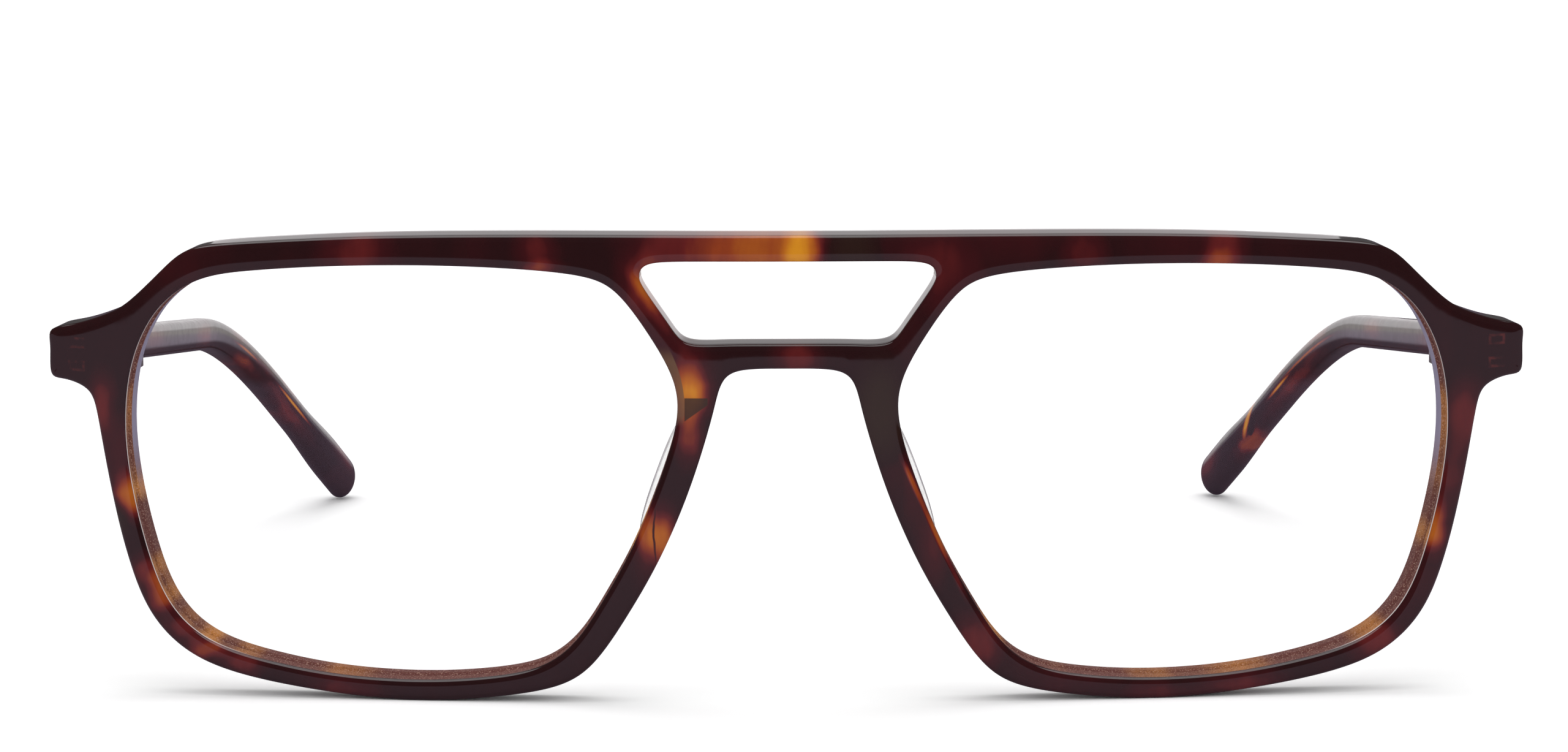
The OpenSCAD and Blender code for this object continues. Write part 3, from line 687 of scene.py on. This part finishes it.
def under_leaf(p):
    """The temple's points, with those under the leaf moved outwards by the gap."""
    q = turned_back(p - LEAF_SEAT, SEAT_TURN, 0, 1) - HINGE_AXIS
    q = turned_back(q, math.radians(ARM_TURN) - SEAT_TURN, 0, 1)
    q = turned_back(q, math.radians(ARM_FALL), 2, 1)
    out, along, up = q.T
    under = (np.abs(up) < LEAF_HALF_H) & (along > LEAF_FROM) & (along < LEAF_TO) & (out < LEAF_FACE)
    return p + (LEAF_GAP * under)[:, None] * np.cross(ARM, UPRIGHT)


temple_points, temple_faces, temple_marks = make_temple()
temple_points = under_leaf(temple_points)
temples = {
    side: piece("temple_arm_" + side, standing(temple_points, s), temple_faces, side + "_temple",
                "temple_" + side, attributes=temple_marks)
    for side, s in SIDES_OF_WEARER
}

# %% [markdown]
# ## Writing shaders as expressions
# A node tree is easier to read as arithmetic. Wire wraps one output, and each of its operators adds a
# Math node. Nodes holds a tree and adds any other node from its type, its settings and the values or
# wires of its sockets. Finish is such a tree that belongs to a material.

# %% Shader helpers
class Wire:
    """One output of a node, with arithmetic."""

    def __init__(self, nodes, socket):
        self.nodes, self.socket = nodes, socket

    def math(self, operation, *values):
        """A Math node of wires and numbers."""
        return self.nodes.add("ShaderNodeMath", dict(enumerate(values)), operation=operation)

    def __add__(self, other):
        return self.math("ADD", self, other)

    __radd__ = __add__

    def __sub__(self, other):
        return self.math("SUBTRACT", self, other)

    def __rsub__(self, other):
        return self.math("SUBTRACT", other, self)

    def __mul__(self, other):
        return self.math("MULTIPLY", self, other)

    __rmul__ = __mul__

    def __pow__(self, other):
        return self.math("POWER", self, other)

    def __abs__(self):
        return self.math("ABSOLUTE", self)

    def higher(self, other):
        """The larger of the two."""
        return self.math("MAXIMUM", self, other)

    def clip(self):
        """Kept from 0 to 1."""
        return self.nodes.add("ShaderNodeClamp", {0: self})

    def between(self, low, high, to=(0.0, 1.0)):
        """A smooth step that starts at low and is done at high."""
        values = {"Value": self, "From Min": low, "From Max": high, "To Min": to[0], "To Max": to[1]}
        return self.nodes.add("ShaderNodeMapRange", values, interpolation_type="SMOOTHSTEP")


class Nodes:
    """A node tree, emptied, with short ways to fill it."""

    def __init__(self, tree):
        self.tree = tree
        tree.nodes.clear()

    def add(self, kind, sockets=None, out=0, stops=None, **settings):
        """Makes a node: its settings and ramp stops first, then the values or wires of its sockets."""
        node = self.tree.nodes.new(kind)
        for key, value in settings.items():
            setattr(node, key, value)
        for i, (place, colour) in enumerate(stops or []):
            ramp = node.color_ramp
            stop = ramp.elements[i] if i < 2 else ramp.elements.new(place)
            stop.position = place
            stop.color = (*colour, 1)
        for key, value in (sockets or {}).items():
            if isinstance(value, Wire):
                self.tree.links.new(value.socket, node.inputs[key])
            else:
                node.inputs[key].default_value = value
        return Wire(self, node.outputs[out]) if node.outputs else None

    def mix(self, factor, a, b):
        """Colour a at factor 0 and b at 1, each a wire or its red, green and blue."""
        a, b = ((*colour, 1) if isinstance(colour, tuple) else colour for colour in (a, b))
        return self.add("ShaderNodeMix", {0: factor, 6: a, 7: b}, out=2, data_type="RGBA")

    def vector(self, operation, a, b=(0, 0, 0), c=(0, 0, 0), out=0):
        """A Vector Math node of up to three vectors. Out 1 gives a length."""
        return self.add("ShaderNodeVectorMath", {0: a, 1: b, 2: c}, out=out, operation=operation)

    def noise(self, where, scale, detail=2.0, roughness=0.5, stretch=(1, 1, 1)):
        """Smooth noise about 0.5, at scale per unit, with its pattern stretched along the axes."""
        if stretch != (1, 1, 1):
            where = self.vector("MULTIPLY", where, stretch)
        sockets = {"Vector": where, "Scale": scale, "Detail": detail, "Roughness": roughness}
        return self.add("ShaderNodeTexNoise", sockets)

    def wandered(self, where, noise_at, scale, detail, reach):
        """Places pushed about by noise, each way by up to half the reach."""
        sockets = {"Vector": noise_at, "Scale": scale, "Detail": detail}
        colour = self.add("ShaderNodeTexNoise", sockets, out=1)
        half = tuple(-r / 2 for r in reach)
        return self.vector("ADD", where, self.vector("MULTIPLY_ADD", colour, reach, half))

    def axis(self, vector, number):
        """One of a vector's three numbers."""
        return self.add("ShaderNodeSeparateXYZ", {0: vector}, out=number)

    def mark(self, name, out=2):
        """A number that the mesh carries at its points. Out 1 gives a vector instead."""
        return self.add("ShaderNodeAttribute", out=out, attribute_name=name)

    def objects_place(self):
        """The place on the object, in metres."""
        return self.add("ShaderNodeTexCoord", out=3)

    def is_ray(self, kind):
        """1 for rays of the kind Camera, Glossy or Transmission, else 0."""
        return self.add("ShaderNodeLightPath", out=f"Is {kind} Ray")


class Finish(Nodes):
    """A material and its node tree."""

    def __init__(self, name):
        self.material = bpy.data.materials.new(name)
        self.material.use_nodes = True
        super().__init__(self.material.node_tree)

    def principled(self, **sockets):
        """A Principled shader. Underscores in the names stand for spaces."""
        named = {key.replace("_", " "): value for key, value in sockets.items()}
        return self.add("ShaderNodeBsdfPrincipled", named)

    def output(self, shader):
        """The finished material."""
        self.add("ShaderNodeOutputMaterial", {0: shader})
        return self.material


print("a wire can", [name for name in vars(Wire) if not name.startswith("_")])

# %% [markdown]
# ## Tortoise acetate
# The sheet is pressed from dark, red and yellow offcuts. One number says how yellow a place is, and a
# ramp turns it into the run of colours from black cherry over red and orange to honey. It comes from
# soft spots that lie where this frame has them. Noise bends their edges, and a faint red drift is
# everywhere.

# %% Tortoise pattern
CHERRY = (0.020, 0.0062, 0.0070)
SHEET_STOPS = [
    (0.0, CHERRY), (0.28, (0.045, 0.0068, 0.0085)), (0.45, (0.115, 0.014, 0.014)),
    (0.6, (0.26, 0.045, 0.014)), (0.78, (0.45, 0.125, 0.014)), (1.0, (0.74, 0.32, 0.018)),
]
BLACK = (0.033, 0.020, 0.012)
# Pale colour of the painted highlight along the sharp edge of the sawn wall
EDGE_HIGHLIGHT = (0.80, 0.74, 0.72)
MATT_BROWN, PRONG_RED = (0.135, 0.070, 0.036), (0.20, 0.035, 0.03)
# The sawn wall: its red parts, its yellow ones, pale and dark chips, and its bluish end at the temple
SAWN_RED, SAWN_GOLD = (0.155, 0.058, 0.050), (0.56, 0.23, 0.06)
PALE_CHIP, DARK_CHIP, BLUISH = (0.66, 0.42, 0.32), (0.08, 0.030, 0.028), (0.30, 0.27, 0.38)
# Each spot: x, z, its half width and half height in mm, and how much yellow it adds in its middle
FRONT_SPOTS = [
    (1.5, 45.3, 1.7, 5.0, 0.46), (-2.4, 45.3, 5.4, 5.0, 0.66), (-11.0, 45.2, 4.6, 4.5, 0.42),
    (14.7, 43.5, 4.6, 4.6, 0.34), (-14.2, 40.4, 2.6, 3.9, 0.34), (-11.0, 35.6, 2.6, 2.8, 0.20),
    (-9.5, 31.0, 1.9, 2.6, 0.56), (-9.4, 32.6, 2.2, 3.2, 0.28), (-9.7, 26.8, 1.5, 2.4, 0.50),
    (0.9, 34.6, 2.2, 1.8, 0.42), (-24.4, 45.2, 2.0, 1.8, 0.36), (-24.0, 43.3, 2.2, 0.9, 0.34),
    (28.7, 44.8, 2.2, 2.4, 0.34), (-12.1, 16.4, 1.2, 3.3, 0.50), (-13.9, 17.3, 1.0, 3.1, 0.42),
    (-12.8, 16.2, 2.6, 4.2, 0.22), (12.2, 22.3, 1.0, 4.0, 0.24), (14.3, 16.5, 1.6, 4.0, 0.30),
    (18.7, 6.2, 2.6, 3.0, 0.42), (-64.6, 19.8, 1.7, 2.3, 0.70), (-65.3, 24.2, 2.2, 3.4, 0.24),
    (-63.0, 12.4, 1.7, 1.7, 0.46), (-61.6, 9.9, 1.6, 1.9, 0.60), (-59.8, 6.7, 1.9, 1.3, 0.42),
    (-57.3, 4.7, 2.2, 1.2, 0.56), (-53.6, 3.4, 2.2, 1.1, 0.40), (63.6, 16.2, 1.7, 3.0, 0.70),
    (66.8, 27.4, 2.0, 3.4, 0.42), (58.1, 5.4, 3.0, 2.2, 0.44), (65.3, 21.6, 2.0, 3.2, 0.34),
    (-43.7, 1.0, 3.6, 1.4, 0.32), (44.5, 1.4, 4.4, 1.4, 0.36), (36.1, 0.6, 3.6, 1.1, 0.30),
    (-67.3, 28.8, 1.3, 3.0, 0.42), (42.4, 44.9, 2.4, 3.4, 0.42), (41.4, 43.4, 3.0, 1.3, 0.20),
    (-41.9, 44.7, 3.4, 3.6, 0.38),
]
# Places where a black offcut lies, the same way, and how much they take away
BLACK_SPOTS = [
    (6.4, 45.3, 2.1, 3.0, 0.36), (9.0, 29.5, 2.4, 4.4, 0.6), (-66.3, 17.0, 1.0, 2.0, 0.4),
    (-13.05, 16.8, 0.10, 2.2, 0.5),
]
# Spots run through the sheet. Measured in its half sizes, a spot starts at 1.6 and is full at 0.2
SPOT_DEPTH, SPOT_START, SPOT_FULL = 9, 1.6, 0.2
ACETATE_IOR = 1.49
WAVES_PER_M, WAVE_HEIGHT, HAZE_PER_M = 75.0, 0.00003, 900.0


def spot(finish, where, centre, radii, peak, hard=0.0):
    """A soft ellipsoid: peak in its middle, fading with the distance measured in its half sizes."""
    scale = tuple(1 / r for r in radii)
    shift = tuple(-c / r for c, r in zip(centre, radii))
    reach = finish.vector("MULTIPLY_ADD", where, scale, shift)
    far = finish.vector("LENGTH", reach, out=1)
    return far.between(SPOT_START - hard, SPOT_FULL + hard, (0.0, peak))


def spots_of(finish, where, rows, depth, hard=0.0):
    """One spot for each row of x, z, half width, half height and strength."""
    return [spot(finish, where, (x, 0, z), (rx, depth, rz), peak, hard) for x, z, rx, rz, peak in rows]


def highest(values):
    """The largest of several values."""
    top = values[0]
    for value in values[1:]:
        top = top.higher(value)
    return top


def polished(finish, colour, place, rough):
    """Buffed acetate: a faint waviness, and a roughness that changes a little from place to place."""
    wave = finish.noise(place, WAVES_PER_M, 1.0)
    bump = finish.add("ShaderNodeBump", {"Strength": 1.0, "Distance": WAVE_HEIGHT, "Height": wave})
    haze = finish.noise(place, HAZE_PER_M, 3.0).between(0.3, 0.8, rough)
    return finish.principled(Base_Color=colour, Roughness=haze, Normal=bump, IOR=ACETATE_IOR)


print("spots on the front", len(FRONT_SPOTS), "yellow and", len(BLACK_SPOTS), "black")

# %% [markdown]
# ## The front's pattern
# The mesh brings places on the flat sheet, in mm, so the pattern is written in the frame's own sizes.
# Long orange streaks and a black offcut have straight edges that a round spot can't give, so each is a
# product of smooth steps.

# %% Pattern of the front
# Straight orange streaks, one along the lens beside the nose and one along the window. Each lies where
# x + lean z = offset. Then come where it starts and is full across, at its top and at its foot, and how
# much yellow it adds
STREAKS = [
    (0.45, 22.2, (0.45, 0.1), (26.5, 22.5), (9.5, 12.5), 0.36),
    (0.63, 12.05, (1.3, 0.1), (44.5, 42.0), (35.0, 39.0), 0.20),
]
# A black offcut lies across the honey beside the nose: upright sides, a level top and a slanting foot
WEDGE_SIDES, WEDGE_TOP, WEDGE_BLUR = (-10.07, -7.80), 30.75, 0.05
WEDGE_FOOT, WEDGE_SLOPE, WEDGE_FOOT_BLUR = (-10.05, 28.45), 0.72, 0.06


def front_amber(f, sheet_place, where, black):
    """How yellow the front is, from 0 to 1: spots, drift and streaks, less the black offcuts."""
    x, z = f.axis(sheet_place, 0), f.axis(sheet_place, 2)
    spots = spots_of(f, where, FRONT_SPOTS, SPOT_DEPTH)
    drift = f.noise(sheet_place, 0.055, 2.0).between(0.50, 0.78, (0.0, 0.26))
    first, second = (
        abs(x + z * lean - offset).between(*across) * z.between(*top) * z.between(*foot, (0.0, yellow))
        for lean, offset, across, top, foot, yellow in STREAKS
    )
    amber = sum(spots).higher(drift) + (first + second)
    fibre = f.noise(sheet_place, 0.5, 3.0, stretch=(1.0, 0.3, 0.3)) - 0.5
    return (amber + fibre * (amber * 0.18 + 0.11) - black).clip()


def black_wedge(x, z):
    """The straight black offcut: smooth steps over each of its four edges, multiplied."""
    left, right = WEDGE_SIDES
    over_foot = (z - WEDGE_FOOT[1]) - (x - WEDGE_FOOT[0]) * WEDGE_SLOPE
    wedge = z.between(WEDGE_TOP + WEDGE_BLUR, WEDGE_TOP - WEDGE_BLUR)
    wedge = wedge * over_foot.between(-WEDGE_FOOT_BLUR, WEDGE_FOOT_BLUR)
    wedge = wedge * x.between(left - WEDGE_BLUR, left + WEDGE_BLUR)
    return wedge * x.between(right + WEDGE_BLUR, right - WEDGE_BLUR) * 0.9


print("streaks on the front", len(STREAKS))

# %% [markdown]
# ## Matt edge and anchor prongs
# Two marks aren't part of the sheet. Above the pad on the wearer's right the lens edge was left matt
# and looks brown. In each end piece the hinge's two anchor prongs show through as worn outlines, the
# difference of a larger and a smaller rectangle.

# %% Marks on the front
# The band follows the lens edge: x plus a shift, plus the bulge times the square of the height over its
# middle, is the distance from that edge
MATT_SHIFT, MATT_MID_Z, MATT_BULGE = 10.42, 29.9, 0.045
PRONG_X, PRONG_Z, PRONG_OFF = 69.85, 33.8, 1.15


def matt_band(x, z):
    """A brown band along the curve of the lens edge, between two heights."""
    height = z - MATT_MID_Z
    from_lens = x + MATT_SHIFT + height * height * MATT_BULGE
    matt = from_lens.between(0.42, 0.32) * z.between(27.8, 29.2) * z.between(36.0, 34.2)
    return matt * x.between(-14.2, -13.4) * 0.8


def prong_outlines(x, z):
    """The edges of two upright rectangles, one over the other, in each end piece."""
    beside = abs(abs(x) - PRONG_X)
    over = abs(abs(z - PRONG_Z) - PRONG_OFF)
    outer = beside.between(0.9, 0.75) * over.between(0.6, 0.45)
    inner = beside.between(0.65, 0.5) * over.between(0.35, 0.2)
    return (outer - inner).clip()


print("the prongs are apart by, mm", 2 * PRONG_OFF)

# %% [markdown]
# ## Buffed face and sawn wall
# The drums only reach what lies open. The wall behind each lens stays as the saw left it: pale and
# grainy, and near the temple bluish. The mark called seat mixes the two shaders, and its halfway
# values, found only along the sharp edge between them, carry a painted highlight: a pale line on that
# edge.

# %% Acetate of the front
EDGE_HIGHLIGHT_FROM = (52.0, 58.0)  # the painted edge highlight starts and is full at these x, towards the temples
SAWN_GRAIN_PER_M = 7000.0


def sawn_acetate(f, place, amber, pale, edge_highlight, z):
    """Unpolished acetate, which scatters light and looks paler and grainy."""
    grain = f.noise(place, SAWN_GRAIN_PER_M, 1.0)
    sawn = f.mix(amber.between(0.1, 0.6), SAWN_RED, SAWN_GOLD)
    sawn = f.mix(grain.between(0.55, 0.72) * 0.5, sawn, PALE_CHIP)
    sawn = f.mix(grain.between(0.46, 0.30) * 0.5, sawn, DARK_CHIP)
    sawn = f.mix(pale * z.between(18.0, 26.0), sawn, BLUISH)
    # The painted edge highlight, over the sawn side too
    sawn = f.mix(edge_highlight, sawn, EDGE_HIGHLIGHT)
    return f.principled(Base_Color=sawn, Roughness=0.7, Specular_IOR_Level=0.12)


def front_acetate():
    """Tortoise acetate on the marks of the front's mesh."""
    f = Finish("tortoise_front")
    place = f.objects_place()
    sheet_place = f.mark("sheet", out=1)
    x, z = f.axis(sheet_place, 0), f.axis(sheet_place, 2)
    where = f.wandered(sheet_place, sheet_place, 0.22, 2.0, (1.6, 0.0, 2.0))
    black = highest(spots_of(f, where, BLACK_SPOTS, SPOT_DEPTH))
    amber = front_amber(f, sheet_place, where, black)
    colour = f.add("ShaderNodeValToRGB", {0: amber}, stops=SHEET_STOPS)
    colour = f.mix(black_wedge(x, z).higher(black), colour, BLACK)
    colour = f.mix(matt_band(x, z), colour, MATT_BROWN)
    worn = f.noise(sheet_place, 1.1, 2.0).between(0.35, 0.7, (0.0, 0.3))
    colour = f.mix(prong_outlines(x, z) * worn, colour, PRONG_RED)
    seat, pale = f.mark("seat"), f.mark("pale")
    # Painted highlight: a pale line where seat is halfway, on the edge between buffed face and sawn
    # wall
    edge_highlight = seat.between(0.05, 0.25) * seat.between(0.98, 0.80) * pale.between(0.1, 0.0)
    edge_highlight = edge_highlight * abs(x).between(*EDGE_HIGHLIGHT_FROM) * 0.85
    smooth = polished(f, f.mix(edge_highlight, colour, EDGE_HIGHLIGHT), place, (0.035, 0.075))
    rough = sawn_acetate(f, place, amber, pale, edge_highlight, z)
    return f.output(f.add("ShaderNodeMixShader", {0: seat, 1: smooth, 2: rough}))


front.data.materials.append(front_acetate())
print("nodes in the front's finish", len(front.data.materials[0].node_tree.nodes))

# %% [markdown]
# ## Acetate of the temples
# Here the pattern has to follow the temple round its bend. Each point carries how far along it lies,
# and its place across and up the section. Spots are written in those, so they stay put when a temple
# folds.

# %% Acetate of the temples
# Each spot: distance along in mm, height in the section, half length in mm, half height, strength
TEMPLE_SPOTS = {
    "left": [(87, 0.7, 6, 0.5, 0.56), (95, 0.9, 10, 0.4, 0.50), (102, 0.8, 7, 0.4, 0.52),
             (98, -0.6, 10, 0.4, 0.45), (90, -0.4, 7, 0.5, 0.38), (116, -0.8, 4, 0.45, 0.56),
             (129, 0.3, 5, 0.6, 0.44), (20, 0, 9, 0.8, 0.45), (55, 0.3, 7, 0.8, 0.5)],
    "right": [(86, 0.7, 7, 0.5, 0.46), (88, -0.6, 7, 0.45, 0.54), (104, 0.8, 8, 0.4, 0.54),
              (106, -0.5, 9, 0.45, 0.46), (96, 0.2, 8, 0.5, 0.38), (127, 0.5, 5, 0.5, 0.46),
              (30, 0.2, 8, 0.8, 0.45), (64, 0, 6, 0.9, 0.5)],
}
# Painted highlights: the wire's channel glints through the acetate as thin bright lines. Where along,
# its height, half length, strength
TEMPLE_GLINTS = {"left": [(91, 0.05, 14, 0.72), (102.5, -0.1, 4.5, 0.95)],
                  "right": [(88.5, 0.08, 6.5, 0.82), (107.8, 0.0, 6.5, 0.98)]}
# A painted glint's half height, and how far every spot reaches across, both in half sections
GLINT_HALF_H, ACROSS = 0.14, 4.0
# On the left temple one honey band crosses at a slant, cut off sharply by a black offcut
SLANT, HONEY_BAND, BLACK_CUT = 3.3, (114.6, 0.2, 1.4, 0.95, 0.95), (112.0, -0.35, 1.5, 0.4, 1.0)


def temple_acetate(side):
    """Tortoise acetate written along the temple, with fine fibres that run along it, and painted glints
    of the wire inside.
    """
    f = Finish("tortoise_temple_" + side)
    place = f.objects_place()
    run, across, rise = (f.mark(name) for name in ("run", "side", "rise"))
    exact = f.add("ShaderNodeCombineXYZ", {0: run, 1: across, 2: rise})
    where = f.wandered(exact, place, 240.0, 3.0, (7.0, 0.0, 0.7))
    drift = f.noise(place, 60.0, 2.0).between(0.48, 0.75, (0.0, 0.36))
    amber = highest(spots_of(f, where, TEMPLE_SPOTS[side], ACROSS) + [drift])
    if side == "left":
        slant = f.add("ShaderNodeCombineXYZ", {0: run + rise * SLANT, 1: across, 2: rise})
        honey, = spots_of(f, slant, [HONEY_BAND], ACROSS, hard=0.15)
        cut, = spots_of(f, slant, [BLACK_CUT], ACROSS, hard=0.5)
        amber = (amber.higher(honey) - cut).clip()
    # The painted glints of the wire, laid over the pattern as extra yellow
    rows = [(x, z, rx, GLINT_HALF_H, peak) for x, z, rx, peak in TEMPLE_GLINTS[side]]
    wire_glints = highest(spots_of(f, exact, rows, ACROSS))
    fibre = f.noise(where, 1.4, 2.0, stretch=(0.10, 0.2, 6.0)) - 0.5
    amber = (amber.higher(wire_glints) + fibre * 0.16).clip()
    colour = f.add("ShaderNodeValToRGB", {0: amber}, stops=SHEET_STOPS)
    return f.output(polished(f, colour, place, (0.13, 0.20)))


for side, temple in temples.items():
    temple.data.materials.append(temple_acetate(side))
    print("finish of", temple.name, "has", len(TEMPLE_SPOTS[side]), "spots")

# %% [markdown]
# ## Clear pieces
# A lens shows by what it mirrors: plain plastic 4 % straight on, and much more at a low angle, by the
# fifth power of one minus the cosine. A coated lens mirrors less, so 0.6 of that is left. As alpha of a
# mirror it leaves the view through the lens unbent and without haze. The bevel, hidden in the groove,
# mirrors nothing. The pads are half clear, with painted shade for their darker outlines where one looks
# along their walls.

# %% Lenses and pads
STRAIGHT_ON, COATING = 0.04, 0.6
LENS_TINT = (0.86, 0.80, 0.96, 1)
PAD_PALE, PAD_OUTLINE_SHADE = (0.80, 0.80, 0.79), (0.22, 0.19, 0.18)


def clear_lens():
    """A faint mirror whose alpha grows with the angle of the view."""
    f = Finish("clear_lens")
    edge = f.add("ShaderNodeLayerWeight", {"Blend": 0.5}, out=1)
    shine = STRAIGHT_ON + edge**5.0 * (1 - STRAIGHT_ON)
    alpha = (shine * (1 - f.mark("bevel")) * COATING).clip()
    return f.output(f.principled(Base_Color=LENS_TINT, Metallic=1.0, Roughness=0.02, Alpha=alpha))


def pale_pad():
    """Half clear acetate, denser towards its outlines, which get a painted shade where one looks along
    its walls.
    """
    f = Finish("pale_pad")
    edge = f.add("ShaderNodeLayerWeight", {"Blend": 0.35}, out=1)
    haze = f.noise(f.objects_place(), 500.0, 3.0)
    colour = f.mix(edge.between(0.35, 0.95), PAD_PALE, PAD_OUTLINE_SHADE)
    alpha = (edge.between(0.5, 1.0, (0.0, 0.6)) + haze.between(0.3, 0.7, (0.16, 0.28))).clip()
    rough = haze.between(0.3, 0.7, (0.06, 0.14))
    return f.output(f.principled(Base_Color=colour, Roughness=rough, Alpha=alpha, IOR=ACETATE_IOR))


for pieces, finish in ((lenses, clear_lens()), (pads, pale_pad())):
    for obj in pieces.values():
        obj.data.materials.append(finish)
        print(obj.name, "is", finish.name)

# %% [markdown]
# ## Metal
# The hinges are stamped and brushed, so their roughness runs in fine lines. The screws are turned and
# brighter, and the wire inside each temple is drawn brass. These stay the CAD solids.

# %% Hinges, screws and wires
LINES_PER_M, LINE_DEPTH, DARK_SHARE = 3000.0, 0.00002, 0.82


def metal(name, colour, low, high, stretch):
    """Brushed or turned metal: noise drawn out to fine lines sets its tone, bump and roughness."""
    f = Finish(name)
    lines = f.noise(f.objects_place(), LINES_PER_M, 3.0, 0.6, stretch)
    tone = f.mix(lines.between(0.3, 0.75), tuple(DARK_SHARE * c for c in colour), colour)
    bump = f.add("ShaderNodeBump", {"Strength": 0.4, "Distance": LINE_DEPTH, "Height": lines})
    rough = lines.between(0.3, 0.75, (low, high))
    return f.output(f.principled(Base_Color=tone, Metallic=1.0, Roughness=rough, Normal=bump))


# The word in the names of the CAD nodes, and their finish
METALS = {
    "wire": metal("drawn_wire", (0.72, 0.53, 0.28), 0.2, 0.34, (1, 0.06, 1)),
    "screw": metal("turned_screw", (0.74, 0.73, 0.71), 0.14, 0.24, (1, 1, 0.1)),
    "front_hinge": metal("brushed_hinge", (0.66, 0.64, 0.60), 0.22, 0.38, (1, 0.08, 1)),
}
METALS["temple_hinge"] = METALS["front_hinge"]
for name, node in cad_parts.items():
    for word, finish in METALS.items():
        if word in name:
            node.data.materials.clear()
            node.data.materials.append(finish)
            print(name, "is", finish.name)

# %% [markdown]
# ## Table and card
# The floor is white to the camera, yet keeps the shadow. Polished acetate shows what is around it: a
# pale card behind the pair, a softbox overhead, the lit sheet below, and a dark room where the
# photographer stands. The face leans a little, so it mirrors the sheet in front of it, whose end stops
# the veil on the face just under the lower bridge bar.

# %% Table and card
TABLE_SIDE, UNDER_PAIR = 8.0, -0.00002
SHEET_FRONT, SHEET_BLUR, STRIP_EDGE, STRIP_BLUR = -0.211, 0.004, 0.224, 0.003
STRIP_FRONT, STRIP_SIDE = (0.15, 0.19), (0.095, 0.065)
CARD_AT, CARD_HALF, CARD_H = 0.365, 0.105, 0.30
SQUARE = ((-1, -1), (1, -1), (1, 1), (-1, 1))
WHITE, LIT_PAPER = (1.2, 1.2, 1.2), (0.82, 0.82, 0.83)
# What mirror images show, darker than the table is under the lamp: painted shade of the table as
# mirrors see it
MIRRORED_SHADE, LIT_SHEET, STRIP_END, DARK_FLOOR = (
    (0.10, 0.075, 0.10), (0.42, 0.37, 0.45), (0.56, 0.53, 0.52), (0.02, 0.015, 0.018))


def table_paint():
    """White to the camera, grey paper to the light, and to mirrors a lit sheet, a strip and painted
    shade.
    """
    f = Finish("white_table")
    place = f.objects_place()
    x, y = f.axis(place, 0), f.axis(place, 1)
    before = y.between(SHEET_FRONT - SHEET_BLUR, SHEET_FRONT + SHEET_BLUR)
    lit = before * y.between(0.02, -0.02)
    strip = y.between(*STRIP_FRONT) * abs(x).between(*STRIP_SIDE)
    mirrored_colour = f.mix(lit + strip, MIRRORED_SHADE, LIT_SHEET)
    strip_end = strip * y.between(STRIP_EDGE - STRIP_BLUR, STRIP_EDGE + STRIP_BLUR)
    mirrored_colour = f.mix(strip_end, mirrored_colour, STRIP_END)
    mirrored_colour = f.mix(before, DARK_FLOOR, mirrored_colour)
    paint = f.mix(f.is_ray("Camera"), LIT_PAPER, WHITE)
    paint = f.mix(f.is_ray("Glossy"), paint, mirrored_colour)
    return f.output(f.add("ShaderNodeBsdfDiffuse", {"Color": paint}))


def card_paint():
    """A lit white card, brightest at its foot, that only mirror images show."""
    f = Finish("white_card")
    strength = f.axis(f.objects_place(), 2).between(0.03, 0.17, (1.0, 0.40))
    return f.output(f.add("ShaderNodeEmission", {"Color": (1, 0.97, 0.98, 1), "Strength": strength}))


def flat(name, corners, material):
    """One rectangle of the studio, which isn't part of the pair."""
    mesh = bpy.data.meshes.new(name)
    mesh.from_pydata(corners, [], [(0, 1, 2, 3)])
    mesh.materials.append(material)
    obj = bpy.data.objects.new(name, mesh)
    bpy.context.scene.collection.objects.link(obj)
    return obj


flat("table", [(TABLE_SIDE * a, TABLE_SIDE * b, UNDER_PAIR) for a, b in SQUARE], table_paint())
card = flat("card", [(CARD_HALF * a, CARD_AT, CARD_H * (1 + b) / 2) for a, b in SQUARE], card_paint())
card.visible_camera = card.visible_diffuse = card.visible_shadow = card.visible_transmission = False
print("the card stands behind the middle by, mm", round(CARD_AT / MM))

# %% [markdown]
# ## Room and lamp
# The light is soft: an even white room, and one wide lamp overhead that draws the faint shadow. The
# room is white to the camera, also through a lens. To mirrors it is a dark studio with a softbox above,
# and to everything else plain white, a little brighter in front.

# %% Room and lamp
ROOM, ROOM_FRONT, SOFTBOX = 0.60, 0.7, 3.0
SUN_WIDTH, SUN_TILT, SUN_ENERGY = math.radians(44), math.radians(-4), 0.27 * math.pi

world = bpy.data.worlds.new("studio")
bpy.context.scene.world = world
world.use_nodes = True
room_nodes = Nodes(world.node_tree)
ray_way = room_nodes.add("ShaderNodeTexCoord", out=0)
back, height = room_nodes.axis(ray_way, 1), room_nodes.axis(ray_way, 2)
mirrored_room = back.between(-0.3, 0.5, (0.03, 0.10)) + height.between(0.82, 0.86) * SOFTBOX
room_light = back.between(0.0, -1.0, (0.0, ROOM_FRONT)) + ROOM
seen = (room_nodes.is_ray("Camera") + room_nodes.is_ray("Transmission")).clip()
glossy = room_nodes.is_ray("Glossy")
strength = seen + (1 - seen) * (glossy * mirrored_room + (1 - glossy) * room_light)
glow = room_nodes.add("ShaderNodeBackground", {"Color": (1, 1, 1, 1), "Strength": strength})
room_nodes.add("ShaderNodeOutputWorld", {0: glow})

sun_data = bpy.data.lights.new("soft_light", "SUN")
sun_data.angle = SUN_WIDTH
sun_data.energy = SUN_ENERGY
sun = bpy.data.objects.new("soft_light", sun_data)
sun.rotation_euler = (SUN_TILT, 0, 0)
sun.visible_glossy = False
bpy.context.scene.collection.objects.link(sun)
bpy.context.scene.view_settings.view_transform = "Standard"
print("lamp width, degrees", round(math.degrees(SUN_WIDTH)))

# %% [markdown]
